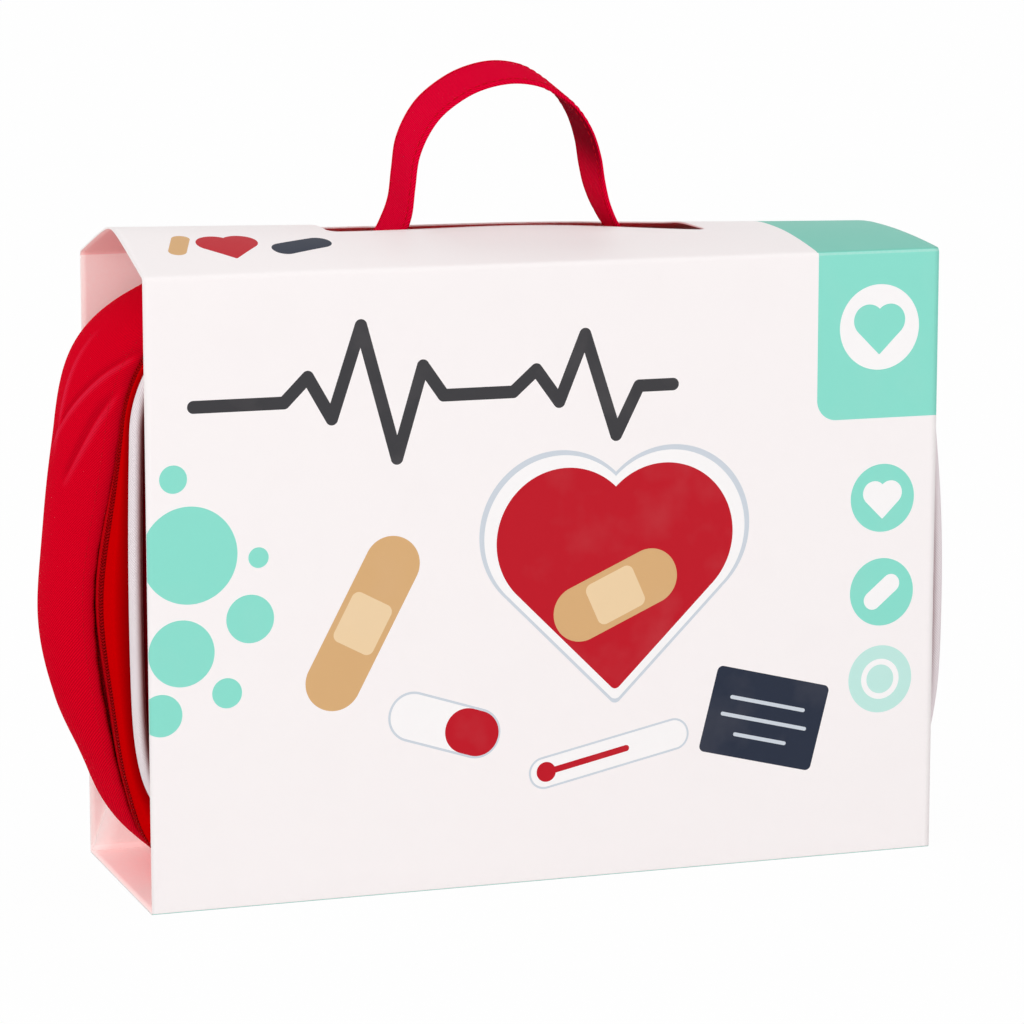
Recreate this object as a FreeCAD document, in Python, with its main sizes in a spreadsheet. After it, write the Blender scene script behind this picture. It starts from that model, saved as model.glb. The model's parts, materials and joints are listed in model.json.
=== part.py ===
import FreeCAD, Part
import math
import os
import re
import Sketcher
from FreeCAD import Placement, Rotation, Vector

# A toy doctor case: a soft zip case in a printed board sleeve, with its toy instruments inside.
# Millimetres, +Z up, front towards -Y, origin at the middle of the sleeve's bottom face.

SIZES = {
    # Board sleeve, folded round the case and open at both ends.
    "sleeve_width": 276,
    "sleeve_depth": 87,
    "sleeve_height": 208,
    "sleeve_board": 0.6,
    "dome_rise": 8,
    "slot_length": 134,
    "slot_width": 33,
    "slot_corner": 4,
    "flap_height": 26,
    "flap_taper": 9,
    # Room that the sleeve leaves round the case: in front and behind, and above and below.
    "sleeve_ease": 1.6,
    "head_room": 6,
    # Clearances between soft pieces, and the overrun of cuts.
    "soft_gap": 0.3,
    "cut_overrun": 2,
    # Case outlines seen from the front: overall width, corner and side radii, and the lid's drop.
    "front_width": 286,
    "lid_drop": 6,
    "front_corner": 46,
    "front_side": 360,
    "zip_width": 293,
    "zip_corner": 55,
    "zip_side": 270,
    "belly_width": 316,
    "belly_corner": 62,
    "belly_side": 240,
    "back_width": 302,
    "back_corner": 60,
    "back_side": 260,
    # Bands of the case, front to back.
    "piping": 4,
    "lid_strip_width": 17,
    "zip_lid_edge": 3,
    "zip_tray_edge": 8.5,
    "belly_run": 25,
    "back_panel_depth": 5,
    "back_crown": 3.6,
    "front_crown": 2.6,
    "crown_border": 15,
    # Fabric, boards and lining.
    "wall": 2,
    "board": 1.4,
    "lining": 0.8,
    "piping_stand": 0.5,
    # Emblem on the front.
    "emblem": 78,
    "emblem_thick": 0.5,
    "heart": 30,
    "heart_lift": 5,
    "heart_thick": 0.4,
    # Zip.
    "tape_recess": 0.8,
    "tape": 0.7,
    "coil_width": 2,
    "coil_thick": 1.5,
    "chain_gap": 0.8,
    "hinge_length": 176,
    "end_tab": 9,
    "slider_length": 13,
    "slider_width": 8.4,
    "slider_plate": 1.2,
    "slider_lip": 0.9,
    "slider_web": 0.3,
    "slider_web_length": 6,
    "slider_clear": 0.35,
    "slider_angle": 11.4,
    "lug": 1.1,
    "lug_length": 4,
    "pin": 1.4,
    "pin_height": 2.6,
    "pull_eye": 4,
    "pull_eye_width": 2.4,
    "pull_play": 0.25,
    "pull_neck": 3.4,
    "pull_link": 9,
    "pull_link_thick": 1.2,
    "pull_bar": 1.5,
    "ribbon_width": 7,
    "ribbon_length": 24,
    "ribbon": 0.6,
    # Handle of folded webbing.
    "strap_width": 25,
    "strap": 1.8,
    "loop_width": 75,
    "loop_rise": 53,
    "foot_length": 36,
    "handle_setback": 6,
    "handle_lean": 10,
    "patch_margin": 2,
    "patch": 1,
    # Medicine bottle.
    "bottle": 34,
    "bottle_height": 46,
    "bottle_neck": 22,
    "bottle_neck_height": 6,
    "bottle_cap": 26,
    "bottle_cap_height": 15,
    "bottle_round": 3,
    "bottle_across": 60,
    # Ointment tube.
    "ointment": 28,
    "ointment_height": 78,
    "ointment_crimp": 33,
    "ointment_crimp_thick": 6,
    "ointment_cap": 30,
    "ointment_cap_height": 13,
    "ointment_across": 22,
    "cap_round": 2,
    # Syringe.
    "barrel": 22,
    "barrel_length": 58,
    "barrel_wall": 3,
    "nozzle": 8,
    "nozzle_length": 9,
    "flange": 34,
    "flange_thick": 5,
    "plunger_head": 12,
    "plunger_rod": 9,
    "plunger_reach": 16,
    "plunger_knob": 24,
    "plunger_knob_thick": 7,
    "plunger_fit": 0.5,
    "syringe_across": 13,
    # Thermometer.
    "thermometer_length": 112,
    "thermometer_width": 17,
    "thermometer_thick": 8,
    "strip_length": 30,
    "strip_width": 11,
    "strip": 0.8,
    "strip_spacing": 6,
    "thermometer_across": 40,
    # Tweezers.
    "tweezer_length": 126,
    "tweezer_width": 11,
    "tweezer_arm": 4,
    "tweezer_spread": 17,
    "tweezer_root": 20,
    "tweezer_tip": 2,
    "tweezer_across": 58,
    # Pill card.
    "pill_card_width": 38,
    "pill_card_height": 66,
    "pill_card_thick": 6,
    "pill": 9,
    "pill_stand": 3,
    "pill_pitch": 17,
    "pill_card_corner": 9,
    "pill_card_across": 76,
    # Stethoscope.
    "chest_piece": 50,
    "chest_piece_thick": 8,
    "chest_knob": 20,
    "chest_knob_thick": 5,
    "chest_round": 2,
    "stethoscope_tube": 7,
    "tube_headroom": 22,
    "tube_arch": 26,
    "headset_drop": 34,
    "headset_fork": 15,
    "ear_arm": 5,
    "ear_tip": 8,
    "ear_tip_length": 9,
    "stethoscope_across": 52,
    # Cards and folded cloth.
    "xray_width": 116,
    "xray_height": 84,
    "xray_overlap": 50,
    "chart_width": 74,
    "chart_height": 104,
    "card": 0.5,
    "cloth_width": 74,
    "cloth_height": 62,
    "cloth_layer": 2.4,
    "cloth_shrink": 5,
    "cloth_round": 1.1,
}

doc = FreeCAD.newDocument("ToyDoctorCase")
sheet = doc.addObject("Spreadsheet::Sheet", "Sizes")
for row, (alias, number) in enumerate(SIZES.items(), start=1):
    sheet.set(f"A{row}", alias)
    sheet.set(f"B{row}", str(number))
    sheet.setAlias(f"B{row}", alias)
doc.recompute()

nodes = {}


def cells(text):
    """An expression in which each size's name reads its cell of the sheet."""
    return re.sub(r"[a-z_]+", lambda word: f"Sizes.{word[0]}" if word[0] in SIZES else word[0], text)


def value(text):
    """The number that an expression gives now."""
    return float(sheet.evalExpression(cells(text)))


def keep(label, result):
    """Name an object as one finished sub-part."""
    result.Label = label
    nodes[label] = result
    return result


# Sketches

def new_body(label):
    return keep(label, doc.addObject("PartDesign::Body", label))


def new_sketch(body, plane, offset="0"):
    """A sketch on one of the body's own origin planes, shifted along that plane's normal."""
    result = body.newObject("Sketcher::SketchObject", f"{body.Name}_sketch")
    support = [item for item in body.Origin.OriginFeatures if item.Role == plane][0]
    result.AttachmentSupport = [(support, "")]
    result.MapMode = "FlatFace"
    result.setExpression("AttachmentOffset.Base.z", cells(offset))
    return result


def bind(sketch, kind, places, text):
    """A dimension of the sketch that reads the sheet."""
    index = sketch.addConstraint(Sketcher.Constraint(kind, *places, value(text)))
    sketch.setExpression(f"Constraints[{index}]", cells(text))


def pin_point(sketch, edge, point, across, up):
    """Hold one point of an edge at a place given by two expressions."""
    bind(sketch, "DistanceX", (-1, 1, edge, point), across)
    bind(sketch, "DistanceY", (-1, 1, edge, point), up)


def polygon(sketch, points):
    """A closed outline of straight edges."""
    spots = [Vector(value(across), value(up), 0) for across, up in points]
    first = sketch.GeometryCount
    count = len(points)
    for index, spot in enumerate(spots):
        sketch.addGeometry(Part.LineSegment(spot, spots[(index + 1) % count]))
    for index in range(count):
        after = first + (index + 1) % count
        sketch.addConstraint(Sketcher.Constraint("Coincident", first + index, 2, after, 1))
        pin_point(sketch, first + index, 1, *points[index])


def rectangle(sketch, left, right, low, high):
    polygon(sketch, [(left, low), (right, low), (right, high), (left, high)])


def circle(sketch, across, up, radius):
    centre = Vector(value(across), value(up), 0)
    edge = sketch.addGeometry(Part.Circle(centre, Vector(0, 0, 1), value(radius)))
    pin_point(sketch, edge, 3, across, up)
    bind(sketch, "Radius", (edge,), radius)


def arc(sketch, centre, start, end):
    """An arc about a centre, from one point round to another against the clock."""
    hub, first, last = [Vector(value(across), value(up), 0) for across, up in (centre, start, end)]
    angles = [math.atan2(spot.y - hub.y, spot.x - hub.x) for spot in (first, last)]
    hoop = Part.Circle(hub, Vector(0, 0, 1), (first - hub).Length)
    edge = sketch.addGeometry(Part.ArcOfCircle(hoop, *angles))
    pin_point(sketch, edge, 3, *centre)
    pin_point(sketch, edge, 1, *start)
    steep = abs(last.x - hub.x) > abs(last.y - hub.y)
    bind(sketch, "DistanceY" if steep else "DistanceX", (-1, 1, edge, 2), end[1 if steep else 0])
    return edge


def line(sketch, start, end):
    first, last = [Vector(value(across), value(up), 0) for across, up in (start, end)]
    edge = sketch.addGeometry(Part.LineSegment(first, last))
    pin_point(sketch, edge, 1, *start)
    pin_point(sketch, edge, 2, *end)
    return edge


# Features

def pad(body, sketch, length, midplane=False, backward=False):
    result = body.newObject("PartDesign::Pad", f"{body.Name}_pad")
    result.Profile = sketch
    result.setExpression("Length", cells(length))
    result.Midplane = midplane
    result.Reversed = backward
    doc.recompute()
    return result


def pocket(body, sketch, length, midplane=False, backward=False):
    """A cut, which has to take material away."""
    before = body.Shape.Volume
    result = body.newObject("PartDesign::Pocket", f"{body.Name}_pocket")
    result.Profile = sketch
    result.setExpression("Length", cells(length))
    result.Midplane = midplane
    result.Reversed = backward
    doc.recompute()
    if not body.Shape.Volume < before:
        raise ValueError(f"{body.Label}: the pocket cuts nothing")
    return result


def loft(body, kind, sketches, ruled=False):
    result = body.newObject(f"PartDesign::{kind}Loft", f"{body.Name}_loft")
    result.Profile = sketches[0]
    result.Sections = sketches[1:]
    result.Ruled = ruled
    doc.recompute()
    return result


def fillet(body, base, edges, radius):
    result = body.newObject("PartDesign::Fillet", f"{body.Name}_fillet")
    result.Base = (base, edges)
    result.setExpression("Radius", cells(radius))
    doc.recompute()
    return result


def solid(kind, place, turn=None, **sizes):
    """A Part primitive with its sizes and its place bound to the sheet."""
    result = doc.addObject(f"Part::{kind}", kind)
    if turn:
        result.Placement = Placement(Vector(), turn)
    for name, text in sizes.items():
        result.setExpression(name, cells(text))
    put(result, place)
    return result


def put(result, place):
    """Bind the place of an object to the sheet."""
    for axis, text in zip("xyz", place):
        result.setExpression(f"Placement.Base.{axis}", cells(text))


def turned(label, points, place, turn=None):
    """A piece turned on a lathe: a profile of (radius, height) points spun about its own upright axis."""
    body = new_body(label)
    if turn:
        body.Placement = Placement(Vector(), turn)
    put(body, place)
    sketch = new_sketch(body, "XZ_Plane")
    polygon(sketch, points)
    spin = body.newObject("PartDesign::Revolution", f"{label}_spin")
    spin.Profile = sketch
    spin.ReferenceAxis = (sketch, ["V_Axis"])
    doc.recompute()
    return body, spin


def rims(feature, radius, heights):
    """The names of a spun feature's round edges that have this radius, at these heights."""
    names = []
    for index, edge in enumerate(feature.Shape.Edges, start=1):
        curve = edge.Curve
        if not hasattr(curve, "Radius") or abs(curve.Radius - value(radius)) > edge.Tolerance:
            continue
        if any(abs(curve.Center.z - value(height)) <= edge.Tolerance for height in heights):
            names.append(f"Edge{index}")
    return names


def along_x(feature):
    """The names of a padded feature's edges that run across the case."""
    names = []
    for index, edge in enumerate(feature.Shape.Edges, start=1):
        course = edge.tangentAt(edge.FirstParameter)
        if abs(course.x) > max(abs(course.y), abs(course.z)):
            names.append(f"Edge{index}")
    return names


def combine(kind, pieces):
    result = doc.addObject(f"Part::{kind}", kind)
    if kind == "Cut":
        result.Base, result.Tool = pieces
    elif kind == "Compound":
        result.Links = pieces
    else:
        result.Shapes = pieces
    return result


# Places that several pieces share

CASE_FLOOR = "(sleeve_board + soft_gap)"
CASE_HEIGHT = "(sleeve_height - head_room)"
CENTRE = f"({CASE_FLOOR} + {CASE_HEIGHT} / 2)"
CASE_TOP = f"({CASE_FLOOR} + {CASE_HEIGHT})"
BACK = "(sleeve_depth / 2 - sleeve_board - sleeve_ease)"
FRONT = f"(-{BACK})"
LID_SEAM = f"({FRONT} + piping)"
ZIP_FRONT = f"({LID_SEAM} + lid_strip_width)"
CHAIN = f"({ZIP_FRONT} + zip_lid_edge)"
TRAY_SEAM = f"({CHAIN} + zip_tray_edge)"
BACK_SEAM = f"({BACK} - back_panel_depth)"
LINED_BACK = f"({BACK_SEAM} - board - lining)"
LINED_FLOOR = f"({CASE_FLOOR} + wall + soft_gap + lining)"
FOOT_TOP = f"({CASE_TOP} + soft_gap + strap)"
PIVOT = f"({FOOT_TOP} + soft_gap + strap_width / 2)"


# Case outlines

def outline(name, inset="0"):
    """Half width, half height, corner radius and side radius of a named outline, drawn in by inset."""
    drop = "lid_drop" if name == "front" else "0"
    sizes = {"width": f"{name}_width / 2", "height": f"{CASE_HEIGHT} / 2 - {drop}",
             "corner": f"{name}_corner", "side": f"{name}_side"}
    return {key: f"({text} - ({inset}))" for key, text in sizes.items()}


def draw_outline(sketch, shape):
    """A closed loop of level top and bottom lines, bowed sides and round corners, all tangent."""
    half, high, corner, side = [value(shape[key]) for key in ("width", "height", "corner", "side")]
    middle = value(CENTRE)
    lift = high - corner
    hub = half - side
    reach = side - corner
    run = (reach ** 2 - lift ** 2) ** 0.5
    bend = Vector(run, lift, 0).getAngle(Vector(1, 0, 0))
    across = hub + run
    quarter = Vector(0, 1, 0).getAngle(Vector(1, 0, 0))
    normal = Vector(0, 0, 1)

    def turn(centre_x, centre_z, radius, start, end):
        hoop = Part.Circle(Vector(centre_x, centre_z, 0), normal, radius)
        return Part.ArcOfCircle(hoop, start, end)

    low, top = middle - high, middle + high
    edges = [
        Part.LineSegment(Vector(-across, low, 0), Vector(across, low, 0)),
        turn(across, middle - lift, corner, -quarter, -bend),
        turn(hub, middle, side, -bend, bend),
        turn(across, middle + lift, corner, bend, quarter),
        Part.LineSegment(Vector(across, top, 0), Vector(-across, top, 0)),
        turn(-across, middle + lift, corner, quarter, 2 * quarter - bend),
        turn(-hub, middle, side, 2 * quarter - bend, 2 * quarter + bend),
        turn(-across, middle - lift, corner, 2 * quarter + bend, 3 * quarter),
    ]
    first = sketch.GeometryCount
    for edge in edges:
        sketch.addGeometry(edge)
    count = len(edges)
    for index in range(count):
        after = first + (index + 1) % count
        sketch.addConstraint(Sketcher.Constraint("Tangent", first + index, 2, after, 1))
    bottom, right, upper, left = first, first + 2, first + 4, first + 6
    bind(sketch, "DistanceY", (-1, 1, bottom, 1), f"{CENTRE} - {shape['height']}")
    bind(sketch, "DistanceY", (-1, 1, upper, 1), f"{CENTRE} + {shape['height']}")
    sketch.addConstraint(Sketcher.Constraint("Horizontal", bottom))
    sketch.addConstraint(Sketcher.Constraint("Horizontal", upper))
    for edge in (first + 1, first + 3, first + 5, first + 7):
        bind(sketch, "Radius", (edge,), shape["corner"])
    bind(sketch, "Radius", (right,), shape["side"])
    bind(sketch, "Radius", (left,), shape["side"])
    pin_point(sketch, right, 3, f"{shape['width']} - {shape['side']}", CENTRE)
    pin_point(sketch, left, 3, f"{shape['side']} - {shape['width']}", CENTRE)


def outline_sketch(body, shape, depth):
    """One outline of the case on an upright plane at the given depth."""
    sketch = new_sketch(body, "XZ_Plane", f"-({depth})")
    draw_outline(sketch, shape)
    return sketch


def lofted(body, stations, kind="Additive", ruled=False):
    """A loft through outlines, each an (outline, depth) pair."""
    return loft(body, kind, [outline_sketch(body, shape, depth) for shape, depth in stations], ruled)


# A padded edge: how far it has risen, and how far it has drawn in, at each step.
CROWN_SHARES = ((0, 0), (0.45, 0.07), (0.8, 0.3), (0.95, 0.65), (1, 1))


def crowned(body, name, rim, seam, face, crown):
    """A padded panel: a straight edge at the seam, rounded over to a flat face."""
    stations = [(outline(name, rim), seam)]
    for rise, inset in CROWN_SHARES:
        stations.append((outline(name, f"{rim} + crown_border * {inset}"),
                         f"{face} + ({crown}) * (1 - {rise})"))
    return lofted(body, stations, ruled=True)


def flat_ring(body, outer, inner, start, width):
    """A hoop of even section, from its start depth towards the back."""
    sketch = outline_sketch(body, outer, start)
    draw_outline(sketch, inner)
    return pad(body, sketch, width, backward=True)


def flat_sheet(body, shape, start, thick):
    return pad(body, outline_sketch(body, shape, start), thick, backward=True)


# Sleeve

def make_sleeve():
    """A folded board tube with a domed top, a slot for the handle and a tapered glue flap inside."""
    body = new_body("sleeve")
    profile = new_sketch(body, "YZ_Plane")
    radius = "((sleeve_depth ^ 2 / 4 + dome_rise ^ 2) / (2 * dome_rise))"
    hub = ("0", f"sleeve_height + dome_rise - {radius}")
    for inset in ("0", "sleeve_board"):
        side = f"sleeve_depth / 2 - {inset}"
        eave = f"{hub[1]} + sqrt(({radius} - {inset}) ^ 2 - ({side}) ^ 2)"
        arc(profile, hub, (side, eave), (f"-({side})", eave))
        line(profile, (f"-({side})", eave), (f"-({side})", inset))
        line(profile, (f"-({side})", inset), (side, inset))
        line(profile, (side, inset), (side, eave))
    pad(body, profile, "sleeve_width", midplane=True)
    flap = new_sketch(body, "XZ_Plane", "-(sleeve_depth / 2 - sleeve_board)")
    edge = "sleeve_width / 2"
    polygon(flap, [(f"-({edge})", "sleeve_board"), (edge, "sleeve_board"),
                   (f"{edge} - flap_taper", "sleeve_board + flap_height"),
                   (f"flap_taper - {edge}", "sleeve_board + flap_height")])
    pad(body, flap, "sleeve_board")
    slot = new_sketch(body, "XY_Plane", "sleeve_height - cut_overrun")
    end, turn = "(slot_length / 2)", "(slot_length / 2 - slot_corner)"
    near, far = "handle_setback - slot_width / 2", "handle_setback + slot_width / 2"
    low, high = f"{near} + slot_corner", f"{far} - slot_corner"
    line(slot, (f"-{turn}", near), (turn, near))
    arc(slot, (turn, low), (turn, near), (end, low))
    line(slot, (end, low), (end, high))
    arc(slot, (turn, high), (end, high), (turn, far))
    line(slot, (turn, far), (f"-{turn}", far))
    arc(slot, (f"-{turn}", high), (f"-{turn}", far), (f"-{end}", high))
    line(slot, (f"-{end}", high), (f"-{end}", low))
    arc(slot, (f"-{turn}", low), (f"-{end}", low), (f"-{turn}", near))
    pocket(body, slot, "dome_rise + 2 * cut_overrun", backward=True)


# Lid

def make_lid():
    """The front panel with its board, the piping round it and the narrow strip down to the zip."""
    panel = new_body("front_panel")
    rim = "piping + soft_gap / 2"
    crowned(panel, "front", rim, LID_SEAM, FRONT, "front_crown")
    board = new_body("front_board")
    flat_sheet(board, outline("front", "wall + piping_stand + soft_gap"), LID_SEAM, "board")
    lining = new_body("lid_lining")
    flat_sheet(lining, outline("front", "wall + piping_stand + 2 * soft_gap"), f"{LID_SEAM} + board",
               "lining")
    strip = new_body("lid_strip")
    stations = [("front", "piping_stand", LID_SEAM), ("zip", "0", ZIP_FRONT)]
    for kind, depth in (("Additive", "0"), ("Subtractive", "wall")):
        lofted(strip, [(outline(name, f"{inset} + {depth}"), place) for name, inset, place in stations], kind)
    make_piping()
    make_emblem()


def make_piping():
    """A round cord swept all the way round the edge of the front panel."""
    body = new_body("lid_piping")
    path = outline_sketch(body, outline("front", "piping / 2"), f"{LID_SEAM} - piping / 2")
    section = new_sketch(body, "YZ_Plane")
    circle(section, f"{LID_SEAM} - piping / 2", f"{CASE_TOP} - lid_drop - piping / 2", "piping / 2")
    sweep = body.newObject("PartDesign::AdditivePipe", "lid_piping_sweep")
    sweep.Profile = section
    sweep.Spine = (path, [])
    doc.recompute()


TO_FRONT = Rotation(Vector(1, 0, 0), 90)


def make_emblem():
    """A round white patch on the front panel with a heart laid on it."""
    keep("emblem_disc", solid("Cylinder", ("0", FRONT, CENTRE), TO_FRONT,
                              Radius="emblem / 2", Height="emblem_thick"))
    body = new_body("emblem_heart")
    sketch = new_sketch(body, "XZ_Plane", f"-({FRONT} - emblem_thick)")
    # A square on its corner, with a half disc on each upper side.
    level = f"{CENTRE} - heart_lift"
    reach = "heart / sqrt(2)"
    tip, notch = ("0", f"{level} - {reach}"), ("0", f"{level} + {reach}")
    right, left = (reach, level), (f"-{reach}", level)
    line(sketch, tip, right)
    arc(sketch, (f"{reach} / 2", f"{level} + {reach} / 2"), right, notch)
    arc(sketch, (f"-{reach} / 2", f"{level} + {reach} / 2"), notch, left)
    line(sketch, left, tip)
    pad(body, sketch, "heart_thick")


# Zip

def open_at_hinge(body):
    """Take the hinge's length out of the bottom of a hoop of the zip."""
    sketch = new_sketch(body, "XZ_Plane")
    reach = "hinge_length / 2 + end_tab"
    rectangle(sketch, f"-({reach})", reach,
              f"{CASE_FLOOR} - coil_thick - cut_overrun", f"{CASE_FLOOR} + zip_corner / 2")
    pocket(body, sketch, "2 * sleeve_depth", midplane=True)


def make_zip():
    """Two tapes and two coils round three sides, and the fabric hinge and end tabs on the fourth."""
    under = "tape_recess + tape"
    inner_edges = {"lid": f"({CHAIN} - chain_gap / 2)", "tray": f"({CHAIN} + chain_gap / 2)"}
    tapes = {"lid": (ZIP_FRONT, "zip_lid_edge - chain_gap / 2"),
             "tray": (inner_edges["tray"], "zip_tray_edge - chain_gap / 2")}
    coils = {"lid": f"{inner_edges['lid']} - coil_width", "tray": inner_edges["tray"]}
    for side in ("lid", "tray"):
        tape = new_body(f"zip_tape_{side}")
        flat_ring(tape, outline("zip", "tape_recess"), outline("zip", under), *tapes[side])
        open_at_hinge(tape)
        coil = new_body(f"zip_coil_{side}")
        flat_ring(coil, outline("zip", "tape_recess - coil_thick"), outline("zip", "tape_recess"),
                  coils[side], "coil_width")
        open_at_hinge(coil)
    band = "zip_lid_edge + zip_tray_edge"
    keep("hinge_strip", solid("Box", ("-hinge_length / 2", ZIP_FRONT, CASE_FLOOR),
                              Length="hinge_length", Width=band, Height="wall"))
    tabs = [solid("Box", (start, ZIP_FRONT, CASE_FLOOR), Length="end_tab", Width=band, Height="wall")
            for start in ("-hinge_length / 2 - end_tab", "hinge_length / 2")]
    keep("zip_end_tabs", combine("Compound", tabs))


COIL_PROUD = "(coil_thick - tape_recess)"
SLIDER_SEAT = f"({COIL_PROUD} + slider_clear)"
PIN_REACH = f"({SLIDER_SEAT} + slider_plate + pin_height)"
LUG_GAP = "(pull_eye_width + 2 * pull_play)"


def draw_plate(sketch):
    """The slider's plate: square shoulders at the open end, drawn in at the closed end."""
    half, long = "slider_width / 2", "slider_length / 2"
    polygon(sketch, [(f"-{half}", f"-{long}"), (half, f"-{long}"), (half, f"{long} / 2"),
                     (f"{half} / 2", long), (f"-{half} / 2", long), (f"-{half}", f"{long} / 2")])


def make_slider():
    """The slider rides on the right side of the zip: two plates, a thin web between the coils, a bail."""
    body = new_body("zip_slider")
    outer = new_sketch(body, "YZ_Plane", SLIDER_SEAT)
    draw_plate(outer)
    pad(body, outer, "slider_plate")
    lips = new_sketch(body, "YZ_Plane", "slider_clear")
    for near, far in (("-slider_width / 2", "slider_lip - slider_width / 2"),
                      ("slider_width / 2 - slider_lip", "slider_width / 2")):
        rectangle(lips, near, far, "-slider_length / 2", "slider_length / 4")
    pad(body, lips, COIL_PROUD)
    web = new_sketch(body, "YZ_Plane", "-wall - slider_clear")
    rectangle(web, "-slider_web / 2", "slider_web / 2", "-slider_web_length / 2", "slider_web_length / 2")
    pad(body, web, f"wall + slider_clear + {SLIDER_SEAT}")
    inner = new_sketch(body, "YZ_Plane", "-wall - slider_clear - slider_plate")
    draw_plate(inner)
    pad(body, inner, "slider_plate")
    lugs = new_sketch(body, "YZ_Plane", f"{SLIDER_SEAT} + slider_plate")
    for near, far in ((f"{LUG_GAP} / 2", f"{LUG_GAP} / 2 + lug"),
                      (f"-{LUG_GAP} / 2 - lug", f"-{LUG_GAP} / 2")):
        rectangle(lugs, near, far, "-lug_length / 2", "lug_length / 2")
    pad(body, lugs, "pin_height + pin")
    rod = new_sketch(body, "XZ_Plane")
    circle(rod, PIN_REACH, "0", "pin / 2")
    pad(body, rod, f"{LUG_GAP} + lug", midplane=True)
    hub = "zip_width / 2 - zip_side"
    body.Placement = Placement(Vector(), Rotation(Vector(0, 1, 0), value("slider_angle")))
    put(body, (f"{hub} + zip_side * cos(slider_angle)", CHAIN, f"{CENTRE} - zip_side * sin(slider_angle)"))


PULL_PIN = (f"zip_width / 2 - zip_side + (zip_side + {PIN_REACH}) * cos(slider_angle)", CHAIN,
            f"{CENTRE} - (zip_side + {PIN_REACH}) * sin(slider_angle)")
RIBBON_TOP = "(-pull_link + pull_bar + pull_play + ribbon)"


def make_pull():
    """A flat metal link on the slider's pin, with a ribbon folded through the slot at its foot."""
    body = new_body("pull_link")
    plate = new_sketch(body, "YZ_Plane")
    neck, foot = "pull_eye_width / 2", "(ribbon_width / 2 + pull_bar)"
    polygon(plate, [(f"-{neck}", "0"), (f"-{neck}", "-pull_neck"), (f"-{foot}", "-pull_neck - pull_bar"),
                    (f"-{foot}", "-pull_link"), (foot, "-pull_link"), (foot, "-pull_neck - pull_bar"),
                    (neck, "-pull_neck"), (neck, "0")])
    pad(body, plate, "pull_link_thick", midplane=True)
    eye = new_sketch(body, "XZ_Plane")
    circle(eye, "0", "0", "pull_eye / 2")
    pad(body, eye, "pull_eye_width", midplane=True)
    bore = new_sketch(body, "XZ_Plane")
    circle(bore, "0", "0", "pin / 2 + pull_play")
    pocket(body, bore, "2 * pull_eye_width", midplane=True)
    slot = new_sketch(body, "YZ_Plane")
    half = "(ribbon_width / 2 + pull_play)"
    rectangle(slot, f"-{half}", half, "-pull_link + pull_bar", f"{RIBBON_TOP} + pull_play")
    pocket(body, slot, "2 * pull_link_thick", midplane=True)
    put(body, PULL_PIN)
    ribbon = new_body("pull_ribbon")
    fold = new_sketch(ribbon, "XZ_Plane")
    for inset in ("0", "ribbon"):
        side = f"(pull_link_thick / 2 + pull_play + ribbon - {inset})"
        rectangle(fold, f"-{side}", side,
                  f"{RIBBON_TOP} - ribbon_length + {inset}", f"{RIBBON_TOP} - {inset}")
    pad(ribbon, fold, "ribbon_width", midplane=True)
    put(ribbon, PULL_PIN)


# Tray

def tray_stations(inset):
    """The wide gusset's outlines from the zip back to the rear panel."""
    return [(outline("zip", inset), TRAY_SEAM),
            (outline("belly", inset), f"{TRAY_SEAM} + belly_run"),
            (outline("back", inset), BACK_SEAM)]


def make_tray():
    """The full gusset, the padded back with its board, and the lining that covers both inside."""
    gusset = new_body("tray_gusset")
    lofted(gusset, tray_stations("0"))
    lofted(gusset, tray_stations("wall"), "Subtractive")
    panel = new_body("back_panel")
    crowned(panel, "back", "0", BACK_SEAM, BACK, "-back_crown")
    skin = "wall + soft_gap"
    cup = new_body("tray_lining")
    lofted(cup, tray_stations(skin))
    inside = tray_stations(f"{skin} + lining")
    lofted(cup, inside[:-1] + [(inside[-1][0], LINED_BACK)], "Subtractive")
    recess = outline_sketch(cup, outline("back", f"{skin} + 2 * lining"), f"{BACK_SEAM} - board")
    pocket(cup, recess, "board + cut_overrun")
    board = new_body("back_board")
    flat_sheet(board, outline("back", f"{skin} + 2 * lining + soft_gap"), f"{BACK_SEAM} - board", "board")


# Handle

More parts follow.
